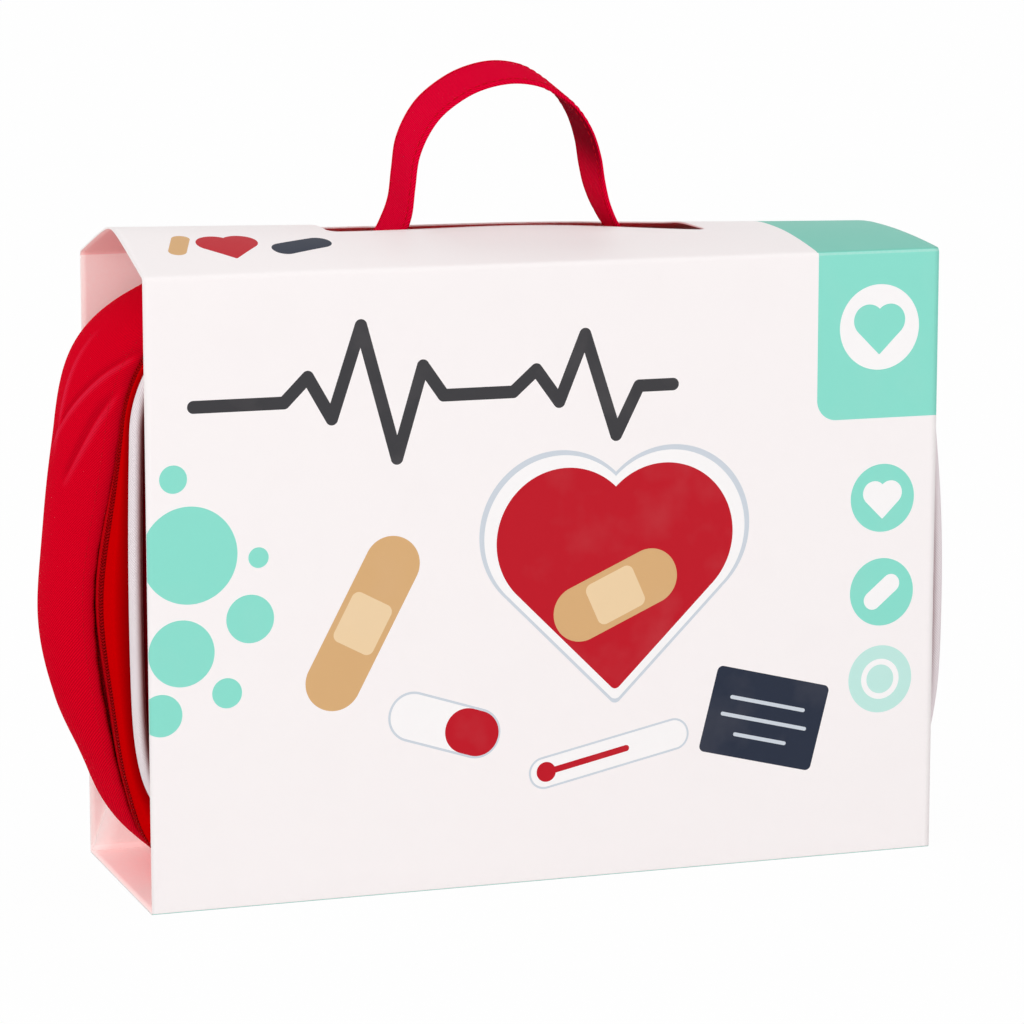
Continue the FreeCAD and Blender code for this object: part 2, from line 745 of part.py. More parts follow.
def make_handle():
    """A webbing loop whose round-ended legs lean on two feet sewn flat on the gusset."""
    body = new_body("handle_loop")
    band = new_sketch(body, "XZ_Plane")
    outer, inner = "loop_width / 2", "(loop_width / 2 - strap)"
    spring, root = "(loop_rise - loop_width / 2)", "(-strap_width / 2)"
    for reach in (outer, inner):
        line(band, (reach, root), (reach, spring))
        arc(band, ("0", spring), (reach, spring), (f"-{reach}", spring))
        line(band, (f"-{reach}", spring), (f"-{reach}", root))
    line(band, (inner, root), (outer, root))
    line(band, (f"-{outer}", root), (f"-{inner}", root))
    pad(body, band, "strap_width", midplane=True)
    half, past = "strap_width / 2", "(strap_width / 2 + cut_overrun)"
    tongue = new_sketch(body, "YZ_Plane")
    arc(tongue, ("0", "0"), (f"-{half}", "0"), (half, "0"))
    corners = [(half, "0"), (past, "0"), (past, f"-{past}"),
               (f"-{past}", f"-{past}"), (f"-{past}", "0"), (f"-{half}", "0")]
    for start, end in zip(corners, corners[1:]):
        line(tongue, start, end)
    pocket(body, tongue, "loop_width + 2 * cut_overrun", midplane=True)
    body.Placement = Placement(Vector(), Rotation(Vector(1, 0, 0), value("handle_lean")))
    put(body, ("0", "handle_setback", PIVOT))
    near = f"handle_setback - {half}"
    feet = [solid("Box", (start, near, f"{CASE_TOP} + soft_gap"),
                  Length="foot_length", Width="strap_width", Height="strap")
            for start in (inner, f"-{inner} - foot_length")]
    keep("handle_feet", combine("Compound", feet))
    reach = f"({inner} + foot_length + patch_margin)"
    keep("handle_patch", solid("Box", (f"-{reach}", f"{near} - patch_margin",
                                       f"{CASE_TOP} - wall - lining - 2 * soft_gap - patch"),
                               Length=f"2 * {reach}", Width="strap_width + 2 * patch_margin", Height="patch"))


# Toy instruments, which stand loose on the lined floor

STAND = f"({LINED_FLOOR} + soft_gap)"
REAR_ROW = f"({LINED_BACK} - 3 * card - soft_gap - chest_piece_thick / 2)"
FRONT_ROW = f"({REAR_ROW} - chest_piece_thick / 2 - chest_knob_thick - soft_gap - bottle / 2)"


def make_bottle():
    """A turned wooden bottle with a shoulder and neck, and a cup-shaped cap over the neck."""
    place = ("-bottle_across", FRONT_ROW, STAND)
    radius, neck = "bottle / 2", "bottle_neck / 2"
    body, spin = turned("bottle", [
        ("0", "0"), (radius, "0"), (radius, "bottle_height"), (neck, "bottle_height"),
        (neck, "bottle_height + bottle_neck_height"), ("0", "bottle_height + bottle_neck_height")], place)
    fillet(body, spin, rims(spin, radius, ("0", "bottle_height")), "bottle_round")
    bore, roof = f"{neck} + soft_gap", "bottle_neck_height + soft_gap"
    cap, spin = turned("bottle_cap", [
        (bore, "0"), ("bottle_cap / 2", "0"), ("bottle_cap / 2", "bottle_cap_height"),
        ("0", "bottle_cap_height"), ("0", roof), (bore, roof)],
        (place[0], place[1], f"{STAND} + bottle_height"))
    fillet(cap, spin, rims(spin, "bottle_cap / 2", ("bottle_cap_height",)), "cap_round")


def make_ointment():
    """A wooden tube that goes from a round foot to a flat crimp, standing on its turned cap."""
    place = ("-ointment_across", FRONT_ROW, STAND)
    cap, spin = turned("ointment_cap", [
        ("0", "0"), ("ointment_cap / 2", "0"), ("ointment_cap / 2", "ointment_cap_height"),
        ("0", "ointment_cap_height")], place)
    fillet(cap, spin, rims(spin, "ointment_cap / 2", ("0",)), "cap_round")
    body = new_body("ointment_tube")
    sketches = []
    for height, wide, deep in (("0", "ointment", "(ointment - ointment_crimp_thick / 2)"),
                               ("ointment_height", "ointment_crimp", "ointment_crimp_thick")):
        sketch = new_sketch(body, "XY_Plane", height)
        flat, half = f"({wide} / 2 - {deep} / 2)", f"{deep} / 2"
        line(sketch, (f"-{flat}", f"-{half}"), (flat, f"-{half}"))
        arc(sketch, (flat, "0"), (flat, f"-{half}"), (flat, half))
        line(sketch, (flat, half), (f"-{flat}", half))
        arc(sketch, (f"-{flat}", "0"), (f"-{flat}", half), (f"-{flat}", f"-{half}"))
        sketches.append(sketch)
    loft(body, "Additive", sketches)
    put(body, (place[0], place[1], f"{STAND} + ointment_cap_height"))


def make_syringe():
    """A bored barrel with a nozzle and a finger flange, and a plunger that slides in the bore."""
    place = ("syringe_across", FRONT_ROW, STAND)
    bore, top = "(barrel / 2 - barrel_wall)", "(nozzle_length + barrel_length)"
    seat = "(nozzle_length + barrel_wall)"
    turned("syringe_barrel", [
        ("0", "0"), ("nozzle / 2", "0"), ("nozzle / 2", "nozzle_length"), ("barrel / 2", "nozzle_length"),
        ("barrel / 2", f"{top} - flange_thick"), ("flange / 2", f"{top} - flange_thick"), ("flange / 2", top),
        (bore, top), (bore, seat), ("0", seat)], place)
    foot, knob = f"({seat} + plunger_fit)", f"({top} + plunger_reach)"
    plunger, spin = turned("syringe_plunger", [
        ("0", foot), (f"{bore} - plunger_fit", foot), (f"{bore} - plunger_fit", f"{foot} + plunger_head"),
        ("plunger_rod / 2", f"{foot} + plunger_head"), ("plunger_rod / 2", knob), ("plunger_knob / 2", knob),
        ("plunger_knob / 2", f"{knob} + plunger_knob_thick"), ("0", f"{knob} + plunger_knob_thick")], place)
    ends = (knob, f"{knob} + plunger_knob_thick")
    fillet(plunger, spin, rims(spin, "plunger_knob / 2", ends), "cap_round")


def make_thermometer():
    """A flat stick with round ends and two coloured strips laid on its face."""
    place = ("thermometer_across", FRONT_ROW, STAND)
    body = new_body("thermometer")
    sketch = new_sketch(body, "XZ_Plane")
    half, top = "thermometer_width / 2", "(thermometer_length - thermometer_width / 2)"
    line(sketch, (f"-{half}", top), (f"-{half}", half))
    arc(sketch, ("0", half), (f"-{half}", half), (half, half))
    line(sketch, (half, half), (half, top))
    arc(sketch, ("0", top), (half, top), (f"-{half}", top))
    pad(body, sketch, "thermometer_thick", midplane=True)
    put(body, place)
    face = f"{FRONT_ROW} - thermometer_thick / 2 - strip"
    strips = [solid("Box", ("thermometer_across - strip_width / 2", face,
                            f"{STAND} + thermometer_length / 2 + {lift}"),
                    Length="strip_width", Width="strip", Height="strip_length")
              for lift in ("strip_spacing / 2", "(-strip_spacing / 2 - strip_length)")]
    keep("thermometer_strips", combine("Compound", strips))


def make_tweezers():
    """Two tapered wooden arms that meet in a common root at the top."""
    body = new_body("tweezers")
    sketch = new_sketch(body, "XZ_Plane")
    spread, fork = "tweezer_spread / 2", "(tweezer_length - tweezer_root)"
    polygon(sketch, [(f"-{spread}", "0"), (f"tweezer_tip - {spread}", "0"), ("0", fork),
                     (f"{spread} - tweezer_tip", "0"), (spread, "0"), ("tweezer_arm", fork),
                     ("tweezer_arm", "tweezer_length"), ("-tweezer_arm", "tweezer_length"),
                     ("-tweezer_arm", fork)])
    pad(body, sketch, "tweezer_width", midplane=True)
    put(body, ("tweezer_across", FRONT_ROW, STAND))


def make_pill_card():
    """A wooden card that stands edge on, with two columns of round pills on its left face."""
    body = new_body("pill_card")
    sketch = new_sketch(body, "YZ_Plane")
    rectangle(sketch, "-pill_card_width / 2", "pill_card_width / 2", "0", "pill_card_height")
    slab = pad(body, sketch, "pill_card_thick")
    fillet(body, slab, along_x(slab), "pill_card_corner")
    put(body, ("pill_card_across", FRONT_ROW, STAND))
    to_left = Rotation(Vector(0, 1, 0), -90)
    pills = []
    for row in (-1, 0, 1):
        for column in (-1, 1):
            place = ("pill_card_across", f"{FRONT_ROW} + {column} * pill_pitch / 2",
                     f"{STAND} + pill_card_height / 2 + {row} * pill_pitch")
            pills.append(solid("Cylinder", place, to_left, Radius="pill / 2", Height="pill_stand"))
    keep("pills", combine("Compound", pills))


def swept(label, path, section_plane, offset, centre, radius):
    """A round rod along a path that a function draws on the body's upright plane."""
    body = new_body(label)
    spine = new_sketch(body, "XZ_Plane")
    path(spine)
    section = new_sketch(body, section_plane, offset)
    circle(section, *centre, radius)
    sweep = body.newObject("PartDesign::AdditivePipe", f"{label}_sweep")
    sweep.Profile = section
    sweep.Spine = (spine, [])
    doc.recompute()
    return body


def make_stethoscope():
    """A turned chest piece, a tube that arches over, and a spring headset with two ear tips."""
    left, right = "(-stethoscope_across - tube_arch)", "(-stethoscope_across + tube_arch)"
    chest, spin = turned("chest_piece", [
        ("0", "-chest_piece_thick / 2"), ("chest_piece / 2", "-chest_piece_thick / 2"),
        ("chest_piece / 2", "chest_piece_thick / 2"), ("chest_knob / 2", "chest_piece_thick / 2"),
        ("chest_knob / 2", "chest_piece_thick / 2 + chest_knob_thick"),
        ("0", "chest_piece_thick / 2 + chest_knob_thick")],
        (left, REAR_ROW, f"{STAND} + chest_piece / 2"), TO_FRONT)
    fillet(chest, spin, rims(spin, "chest_piece / 2", ("chest_piece_thick / 2", "-chest_piece_thick / 2")),
           "chest_round")
    start = f"({STAND} + chest_piece + soft_gap)"
    spring = f"({CASE_TOP} - wall - lining - patch - tube_headroom - stethoscope_tube / 2 - tube_arch)"
    crest = f"({spring} - headset_drop)"

    def tube_path(sketch):
        line(sketch, (left, start), (left, spring))
        arc(sketch, ("-stethoscope_across", spring), (right, spring), (left, spring))
        line(sketch, (right, spring), (right, crest))

    tube = swept("stethoscope_tube", tube_path, "XY_Plane", start, (left, "0"), "stethoscope_tube / 2")
    put(tube, ("0", REAR_ROW, "0"))
    tip_top = f"({STAND} + ear_tip_length)"
    bend = f"({crest} - soft_gap - ear_arm / 2 - headset_fork)"
    legs = [f"({right} - headset_fork)", f"({right} + headset_fork)"]

    def headset_path(sketch):
        line(sketch, (legs[0], tip_top), (legs[0], bend))
        arc(sketch, (right, bend), (legs[1], bend), (legs[0], bend))
        line(sketch, (legs[1], bend), (legs[1], tip_top))

    headset = swept("headset", headset_path, "XY_Plane", tip_top, (legs[0], "0"), "ear_arm / 2")
    put(headset, ("0", REAR_ROW, "0"))
    tips = [solid("Cylinder", (leg, REAR_ROW, STAND), Radius="ear_tip / 2", Height="ear_tip_length")
            for leg in legs]
    keep("ear_tips", combine("Compound", tips))


def make_cards():
    """Two X-ray cards and an eye chart that stand against the lined back, and a folded cloth."""
    for label, layer, start, wide, high in (
            ("xray_card_left", 1, "-xray_width + xray_overlap / 2", "xray_width", "xray_height"),
            ("xray_card_right", 2, "-xray_overlap / 2", "xray_width", "xray_height"),
            ("eye_chart", 3, "-chart_width / 2", "chart_width", "chart_height")):
        keep(label, solid("Box", (start, f"{LINED_BACK} - {layer} * card", STAND),
                          Length=wide, Width="card", Height=high))
    body = new_body("folded_cloth")
    sketch = new_sketch(body, "YZ_Plane")
    half = "3 * cloth_layer / 2"
    polygon(sketch, [(f"-{half}", "0"), (half, "0"),
                     (half, "cloth_height"), ("cloth_layer / 2", "cloth_height"),
                     ("cloth_layer / 2", "cloth_height - cloth_shrink"),
                     ("-cloth_layer / 2", "cloth_height - cloth_shrink"),
                     ("-cloth_layer / 2", "cloth_height - 2 * cloth_shrink"),
                     (f"-{half}", "cloth_height - 2 * cloth_shrink")])
    stack = pad(body, sketch, "cloth_width")
    fillet(body, stack, along_x(stack), "cloth_round")
    put(body, ("soft_gap", f"{LINED_BACK} - 3 * card - soft_gap - {half}", STAND))


make_sleeve()
make_lid()
make_zip()
make_slider()
make_pull()
make_tray()
make_handle()
make_bottle()
make_ointment()
make_syringe()
make_thermometer()
make_tweezers()
make_pill_card()
make_stethoscope()
make_cards()
doc.recompute()

for item in doc.Objects:
    if "Invalid" in item.State or "Error" in item.State:
        raise ValueError(f"{item.Label} failed: {item.State}")
for label, item in nodes.items():
    if item.Shape.isNull() or not item.Shape.isValid():
        raise ValueError(f"{label} has no valid shape")

os.makedirs("parts", exist_ok=True)
for label, item in nodes.items():
    item.Shape.exportStep(f"parts/{label}.step")
    print(label, len(item.Shape.Solids), round(item.Shape.Volume))
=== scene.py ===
# %% [markdown]
# # A toy doctor case in its printed board sleeve
# A soft red zip case stands in a folded board sleeve that is open at both ends. Its cloth handle
# comes up through a slot in the sleeve's domed top. The CAD model is the fixed frame: every piece
# below is made where the CAD says, worked out in millimetres and put into its mesh in metres.

# %% Load the frame
import json
import math
import bmesh
import bpy
import numpy as np
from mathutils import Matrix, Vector


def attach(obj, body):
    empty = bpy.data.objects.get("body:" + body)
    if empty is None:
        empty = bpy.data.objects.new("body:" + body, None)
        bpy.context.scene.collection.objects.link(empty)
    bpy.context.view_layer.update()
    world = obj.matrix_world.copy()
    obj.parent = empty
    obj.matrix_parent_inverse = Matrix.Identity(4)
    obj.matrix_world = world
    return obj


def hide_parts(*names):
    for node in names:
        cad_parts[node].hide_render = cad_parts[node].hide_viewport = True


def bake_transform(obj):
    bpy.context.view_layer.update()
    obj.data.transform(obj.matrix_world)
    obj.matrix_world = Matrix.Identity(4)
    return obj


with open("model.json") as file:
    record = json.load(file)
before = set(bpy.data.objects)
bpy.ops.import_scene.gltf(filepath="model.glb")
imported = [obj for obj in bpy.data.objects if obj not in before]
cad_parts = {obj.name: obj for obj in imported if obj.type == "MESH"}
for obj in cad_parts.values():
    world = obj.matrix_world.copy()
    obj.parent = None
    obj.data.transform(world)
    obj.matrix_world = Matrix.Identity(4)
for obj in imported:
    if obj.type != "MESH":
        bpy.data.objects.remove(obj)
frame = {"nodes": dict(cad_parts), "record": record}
scene = bpy.context.scene
scene.view_settings.view_transform = "Standard"
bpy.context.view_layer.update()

# %% [markdown]
# ## Camera
# The photograph's camera was solved from the six corners of the sleeve that it shows: it stands
# to the left of the front and a little above it, far away, with a long lens. Working it out once
# and writing the numbers down keeps the view fixed while the pieces change.

# %% Camera at the photograph's viewing angle
AZIMUTH, ELEVATION = math.radians(-18.965), math.radians(9.808)
TARGET = Vector((0.000475, 0.0, 0.118137))
DISTANCE = 1.41105
FOCAL_PIXELS, FRAME_PIXELS, SENSOR = 4145.44, 1024, 36.0

backwards = Vector((math.sin(AZIMUTH) * math.cos(ELEVATION),
                    -math.cos(AZIMUTH) * math.cos(ELEVATION), math.sin(ELEVATION)))
lens = bpy.data.cameras.new("photo_camera")
lens.sensor_width = SENSOR
lens.lens = FOCAL_PIXELS / FRAME_PIXELS * SENSOR
lens.clip_end = 20
camera = bpy.data.objects.new("photo_camera", lens)
scene.collection.objects.link(camera)
camera.location = TARGET + backwards * DISTANCE
camera.rotation_euler = backwards.to_track_quat("Z", "Y").to_euler()
scene.camera = camera
print("lens", round(lens.lens, 1), "mm at", [round(c, 3) for c in camera.location])

# %% [markdown]
# ## Writing finishes as Python
# A finish is a node tree. Wiring nodes by hand hides the sum that they do, so one small class
# stands for a socket and lets plain operators add the Math nodes, and one method adds any other
# node. A finish then reads like the formula that it is.


# %% Sockets as numbers
class Link:
    """A value in a node tree. Operators on it add Math nodes."""

    def __init__(self, finish, socket):
        self.finish, self.socket = finish, socket

    def math(self, operation, *others):
        return self.finish.sum(operation, self, *others)

    def wave(self, pitch):
        """0 to 1 and back over each pitch."""
        return (self * (2 * math.pi / pitch)).math("SINE") * 0.5 + 0.5

    def __add__(self, other):
        return self.math("ADD", other)

    def __sub__(self, other):
        return self.math("SUBTRACT", other)

    def __rsub__(self, other):
        return self.finish.sum("SUBTRACT", other, self)

    def __mul__(self, other):
        return self.math("MULTIPLY", other)

    def __lt__(self, other):
        return self.math("LESS_THAN", other)

    def __gt__(self, other):
        return self.math("GREATER_THAN", other)

    def __and__(self, other):
        return self.math("MINIMUM", other)

    def __or__(self, other):
        return self.math("MAXIMUM", other)

    __radd__ = __add__
    __rmul__ = __mul__


# %% Finishes as node trees
class Finish:
    """A material, or the room's world: a shader and the nodes that feed it."""

    def __init__(self, name, block=None, **shader):
        self.block = block or bpy.data.materials.new(name)
        self.block.use_nodes = True
        self.nodes = self.block.node_tree.nodes
        self.shader = self.nodes.get("Principled BSDF")
        self.feed(self.shader, {key.replace("_", " "): value for key, value in shader.items()})

    def feed(self, node, inputs):
        for key, value in inputs.items():
            if isinstance(value, Link):
                self.block.node_tree.links.new(value.socket, node.inputs[key])
            else:
                node.inputs[key].default_value = value

    def add(self, kind, settings=None, inputs=None, out=0):
        """Any node: its type, its settings, then the values or links of its sockets."""
        node = self.nodes.new(f"ShaderNode{kind}")
        for key, value in (settings or {}).items():
            setattr(node, key, value)
        self.feed(node, inputs or {})
        return Link(self, node.outputs[out]) if node.outputs else node

    def sum(self, operation, *values):
        return self.add("Math", {"operation": operation}, dict(enumerate(values)))

    def vector(self, operation, *values, out=0):
        return self.add("VectorMath", {"operation": operation}, dict(enumerate(values)), out)

    def mix(self, mask, first, second):
        """The first colour where the mask is 0, the second where it is 1."""
        return self.add("Mix", {"data_type": "RGBA"}, {0: mask, 6: first, 7: second}, out=2)

    def place(self, source="Object"):
        return self.add("TexCoord", out=source)

    def parts(self, vector):
        """The three numbers of a vector."""
        split = self.add("SeparateXYZ", None, {0: vector}).socket.node
        return [Link(self, output) for output in split.outputs]

    def noise(self, vector, scale, detail=2.0):
        return self.add("TexNoise", None, {"Vector": vector, "Scale": scale, "Detail": detail})

    def bump(self, height, depth, strength=1.0):
        """Shade as if the surface stood out by height times depth, in metres."""
        normal = self.add("Bump", None, {"Strength": strength, "Distance": depth, "Height": height})
        self.feed(self.shader, {"Normal": normal})

    def seen(self):
        """1 for rays from the camera or by way of a mirror or glass, 0 for light on the object."""
        rays = self.add("LightPath").socket.node.outputs
        kinds = ("Camera", "Glossy", "Transmission")
        plain, mirrored, through = [Link(self, rays[f"Is {kind} Ray"]) for kind in kinds]
        return plain | mirrored | through


def tint(red, green, blue):
    """A colour as a screen shows it, 0 to 255, turned into the linear values of a shader."""
    shown = np.array([red, green, blue]) / 255
    return (*np.where(shown <= 0.04045, shown / 12.92, ((shown + 0.055) / 1.055) ** 2.4).tolist(), 1.0)


print("red cloth in linear values:", [round(c, 3) for c in tint(226, 0, 34)])

# %% [markdown]
# ## Floor and light
# The photograph is a studio picture on white, with light from all round and almost no shadow. A
# bright room and two wide soft lamps do that at a plain level. The white behind comes from the
# floor's and the room's colour as the camera sees them, not from more light on the object.

# %% Floor and room
floor_finish = Finish("pale_floor", Base_Color=(0.7, 0.7, 0.7, 1), Roughness=0.9)
white = floor_finish.add("Emission", None, {"Color": (1, 1, 1, 1), "Strength": 1.0})
lit = Link(floor_finish, floor_finish.shader.outputs[0])
floor_finish.feed(floor_finish.nodes["Material Output"], {
    "Surface": floor_finish.add("MixShader", None, {0: floor_finish.seen() * 0.98, 1: lit, 2: white})})
floor_mesh = bpy.data.meshes.new("floor")
floor_mesh.from_pydata([(-6, -6, 0), (6, -6, 0), (6, 6, 0), (-6, 6, 0)], [], [(0, 1, 2, 3)])
floor_mesh.materials.append(floor_finish.block)
floor = bpy.data.objects.new("floor", floor_mesh)
scene.collection.objects.link(floor)

scene.world = bpy.data.worlds.new("studio_room")
room = Finish("studio_room", scene.world)
room.nodes.clear()
shown, lighting = [room.add("Background", None, {"Color": (1, 1, 1, 1), "Strength": level}) for level in (1.0, 0.83)]
studio = room.add("MixShader", None, {0: room.seen(), 1: lighting, 2: shown})
room.add("OutputWorld", None, {"Surface": studio})
print("nodes in the room:", len(room.nodes))


# %% Lamps
def lamp(name, place, aim, size, power):
    """A square area lamp at a place, in metres, turned to shine at a point."""
    light = bpy.data.lights.new(name, "AREA")
    light.size, light.energy = size, power
    item = bpy.data.objects.new(name, light)
    item.location = place
    item.rotation_euler = (Vector(place) - Vector(aim)).to_track_quat("Z", "Y").to_euler()
    scene.collection.objects.link(item)
    return item


lamps = [lamp("front_lamp", (1.1, -1.6, 0.25), (0.05, 0, 0.08), 1.4, 8),
         lamp("left_lamp", (-1.55, -1.15, 0.4), (-0.1, 0, 0.1), 1.3, 11.5)]
print("lamps:", [item.name for item in lamps])

# %% [markdown]
# ## Surfaces from arrays
# Every new piece is a grid of points that a formula gives, so one function turns such a grid into
# a mesh: it numbers the quads, closes them round where the shape comes back to its start, and
# writes a map of lengths in metres, so that a weave has the same size on every piece.


# %% Grids of points
def quads(rows, cols, wrap_rows=False, wrap_cols=False):
    """Corner numbers of each quad on a grid of points, row by row."""
    i, j = np.meshgrid(np.arange(rows - (not wrap_rows)), np.arange(cols - (not wrap_cols)), indexing="ij")
    below, beside = (i + 1) % rows, (j + 1) % cols
    return np.stack([i * cols + j, i * cols + beside, below * cols + beside, below * cols + j], -1).reshape(-1, 4)


def lengths(points, axis, wrap):
    """Distance travelled along one axis of a grid, with the closing step added where it wraps."""
    if wrap:
        points = np.concatenate([points, points.take([0], axis)], axis)
    steps = np.linalg.norm(np.diff(points, axis=axis), axis=-1).mean(1 - axis)
    return np.concatenate([[0], np.cumsum(steps)])


def new_mesh(name, points, faces, finish):
    """A smooth mesh from points in millimetres and lists of corner numbers."""
    mesh = bpy.data.meshes.new(name)
    mesh.from_pydata((points.reshape(-1, 3) / 1000).tolist(), [], faces)
    mesh.shade_smooth()
    mesh.materials.append(finish.block)
    item = bpy.data.objects.new(name, mesh)
    scene.collection.objects.link(item)
    return item


def surface(name, points, finish, wrap_rows=False, wrap_cols=False, caps=False, painted_shading=None):
    """A mesh over a grid of points in millimetres, with lengths as its map and, if given, a painted light value per
    point.
    """
    rows, cols = points.shape[:2]
    faces = quads(rows, cols, wrap_rows, wrap_cols).tolist()
    grid = np.stack(np.meshgrid(lengths(points, 0, wrap_rows), lengths(points, 1, wrap_cols), indexing="ij"), -1)
    chart = np.stack([grid[:-1, :-1], grid[:-1, 1:], grid[1:, 1:], grid[1:, :-1]], 2).reshape(-1, 2) / 1000
    if caps:
        ring = np.arange(cols)
        faces += [ring[::-1].tolist(), (ring + (rows - 1) * cols).tolist()]
        chart = np.concatenate([chart, np.zeros((2 * cols, 2))])
    item = new_mesh(name, points, faces, finish)
    item.data.uv_layers.new(name="lengths").data.foreach_set("uv", chart.ravel())
    if painted_shading is not None:
        values = np.broadcast_to(painted_shading, (rows, cols)).ravel()
        item.data.attributes.new("painted_shading", "FLOAT", "POINT").data.foreach_set("value", values)
    return item


# %% Faces, thickness and bodies
def merge(item, outwards=False):
    """Merge doubles, and on a closed shape turn all faces outwards."""
    shape = bmesh.new()
    shape.from_mesh(item.data)
    bmesh.ops.remove_doubles(shape, verts=shape.verts, dist=1e-7)
    if outwards:
        bmesh.ops.recalc_face_normals(shape, faces=shape.faces)
    shape.to_mesh(item.data)
    shape.free()
    return item


def face_away(item, centre):
    """Turn a sheet over if most of it looks towards a centre, in millimetres, and not away from it."""
    mesh = item.data
    count = len(mesh.polygons)
    centres, normals, areas = np.zeros(3 * count), np.zeros(3 * count), np.zeros(count)
    mesh.polygons.foreach_get("center", centres)
    mesh.polygons.foreach_get("normal", normals)
    mesh.polygons.foreach_get("area", areas)
    away = centres.reshape(-1, 3) - np.array(centre) / 1000
    if np.sum((away * normals.reshape(-1, 3)).sum(1) * areas) < 0:
        mesh.flip_normals()
    return item


def thicken(item, thick, **settings):
    """Give a sheet its thickness, in millimetres, inwards from its outer face."""
    wall = item.modifiers.new("thickness", "SOLIDIFY")
    wall.thickness, wall.offset = thick / 1000, -1
    for key, value in settings.items():
        setattr(wall, key, value)
    return item


def settle(item, slot, *replaced, body="case"):
    """Ride a piece on its body and hide the CAD nodes that it stands for. The slot is not used."""
    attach(item, body)
    if replaced:
        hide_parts(*replaced)
    print(item.name, "has", len(item.data.polygons), "faces and stands for", ", ".join(replaced) or "trim")
    return item


# %% [markdown]
# ## Printed board
# The sleeve is satin board: printed outside, plain inside, with a raw pale edge where it is cut.
# A picture could carry the print, but a drawn one stays sharp at any size, so each motif is a
# distance in the panel's own plane: a disc, a bar with round ends, or a heart made from them.


# %% Motifs as distances
class Print:
    """Motifs on one panel of the sleeve, in millimetres on its own plane."""

    def __init__(self, finish, across, up, colour):
        self.finish, self.colour = finish, colour
        self.plane = finish.add("CombineXYZ", None, {0: across, 1: up})

    def disc(self, centre, radius):
        return self.finish.vector("DISTANCE", self.plane, (*centre, 0), out="Value") < radius

    def block(self, centre, size, round_by, turn=0.0):
        """A rectangle with round corners: nearer than the radius to its inner rectangle."""
        spot = self.finish.vector("SUBTRACT", self.plane, (*centre, 0))
        if turn:
            spot = self.finish.add("VectorRotate", {"rotation_type": "Z_AXIS"},
                                   {"Vector": spot, "Angle": math.radians(-turn)})
        inner = (size[0] / 2 - round_by, size[1] / 2 - round_by, 0)
        off = self.finish.vector("SUBTRACT", self.finish.vector("ABSOLUTE", spot), inner)
        off = self.finish.vector("MAXIMUM", off, (0, 0, 0))
        return self.finish.vector("LENGTH", off, out="Value") < round_by

    def capsule(self, centre, long, wide, turn):
        """A block whose ends are as good as half round."""
        return self.block(centre, (long, wide), wide / 2 - 0.1, turn)

    def stroke(self, start, end, wide):
        """A straight pen stroke with round ends."""
        middle = ((start[0] + end[0]) / 2, (start[1] + end[1]) / 2)
        turn = math.degrees(math.atan2(end[1] - start[1], end[0] - start[0]))
        return self.block(middle, (math.dist(start, end) + wide, wide), wide / 2 - 1e-4, turn)

    def heart(self, centre, size):
        """A square on its corner with a disc on each upper side, size along the square's side."""
        x, z = centre
        reach = size / math.sqrt(2) / 2
        lobes = [self.disc((x + side * reach, z + reach), size / 2) for side in (-1, 1)]
        return self.block(centre, (size, size), size * 0.04, 45) | lobes[0] | lobes[1]

    def paint(self, *layers):
        """Lay inks over each other: pairs of a mask and a colour, the last on top."""
        for mask, colour in layers:
            self.colour = self.finish.mix(mask, self.colour, colour)


# %% Inks and the board's own place
PAPER, WHITE = tint(249, 243, 243), tint(250, 247, 247)
MINT, MINT_PALE, MINT_DEEP = tint(138, 222, 205), tint(193, 233, 225), tint(120, 201, 183)
CHARCOAL, RED_INK, TAN = tint(58, 57, 60), tint(190, 6, 30), tint(216, 172, 120)
SAND, NAVY, STEEL = tint(238, 208, 166), tint(34, 42, 60), tint(205, 212, 221)

board = Finish("printed_board", Roughness=0.5, Specular_IOR_Level=0.18)
board_place = board.place()
x, y, z = [part * 1000 for part in board.parts(board_place)]
front = Print(board, x, z, PAPER)
print("paper in linear values:", [round(c, 3) for c in PAPER])

# %% [markdown]
# The design is a generic one in the sleeve's own colours: a charcoal pulse line across the head,
# a red heart with plasters, a pill, a stick and a navy card below it, mint discs at both edges,
# and a mint corner that runs over the top.

# %% Pulse line and heart
PULSE = [(-122, 166), (-92, 166), (-84, 174), (-76, 160), (-66, 190), (-54, 146), (-45, 176), (-38, 166), (-14, 166),
         (-6, 173), (2, 162), (11, 184), (22, 150), (30, 166), (42, 166)]
strokes = [front.stroke(start, end, 4.2) for start, end in zip(PULSE, PULSE[1:])]
pulse = strokes[0]
for stroke in strokes[1:]:
    pulse = pulse | stroke
front.paint((pulse, CHARCOAL))
HEART, PLASTER_WIDE = (22, 98), 19
front.paint(*[(front.heart(HEART, size), ink) for size, ink in ((56, STEEL), (54, WHITE), (49, RED_INK))])
for centre, turn, long in (((-66, 92), 62, 62), ((22, 96), 24, 46)):
    front.paint((front.capsule(centre, long, PLASTER_WIDE, turn), TAN),
                (front.block(centre, (18, 15), 2.5, turn), SAND))
print("strokes in the pulse line:", len(strokes))

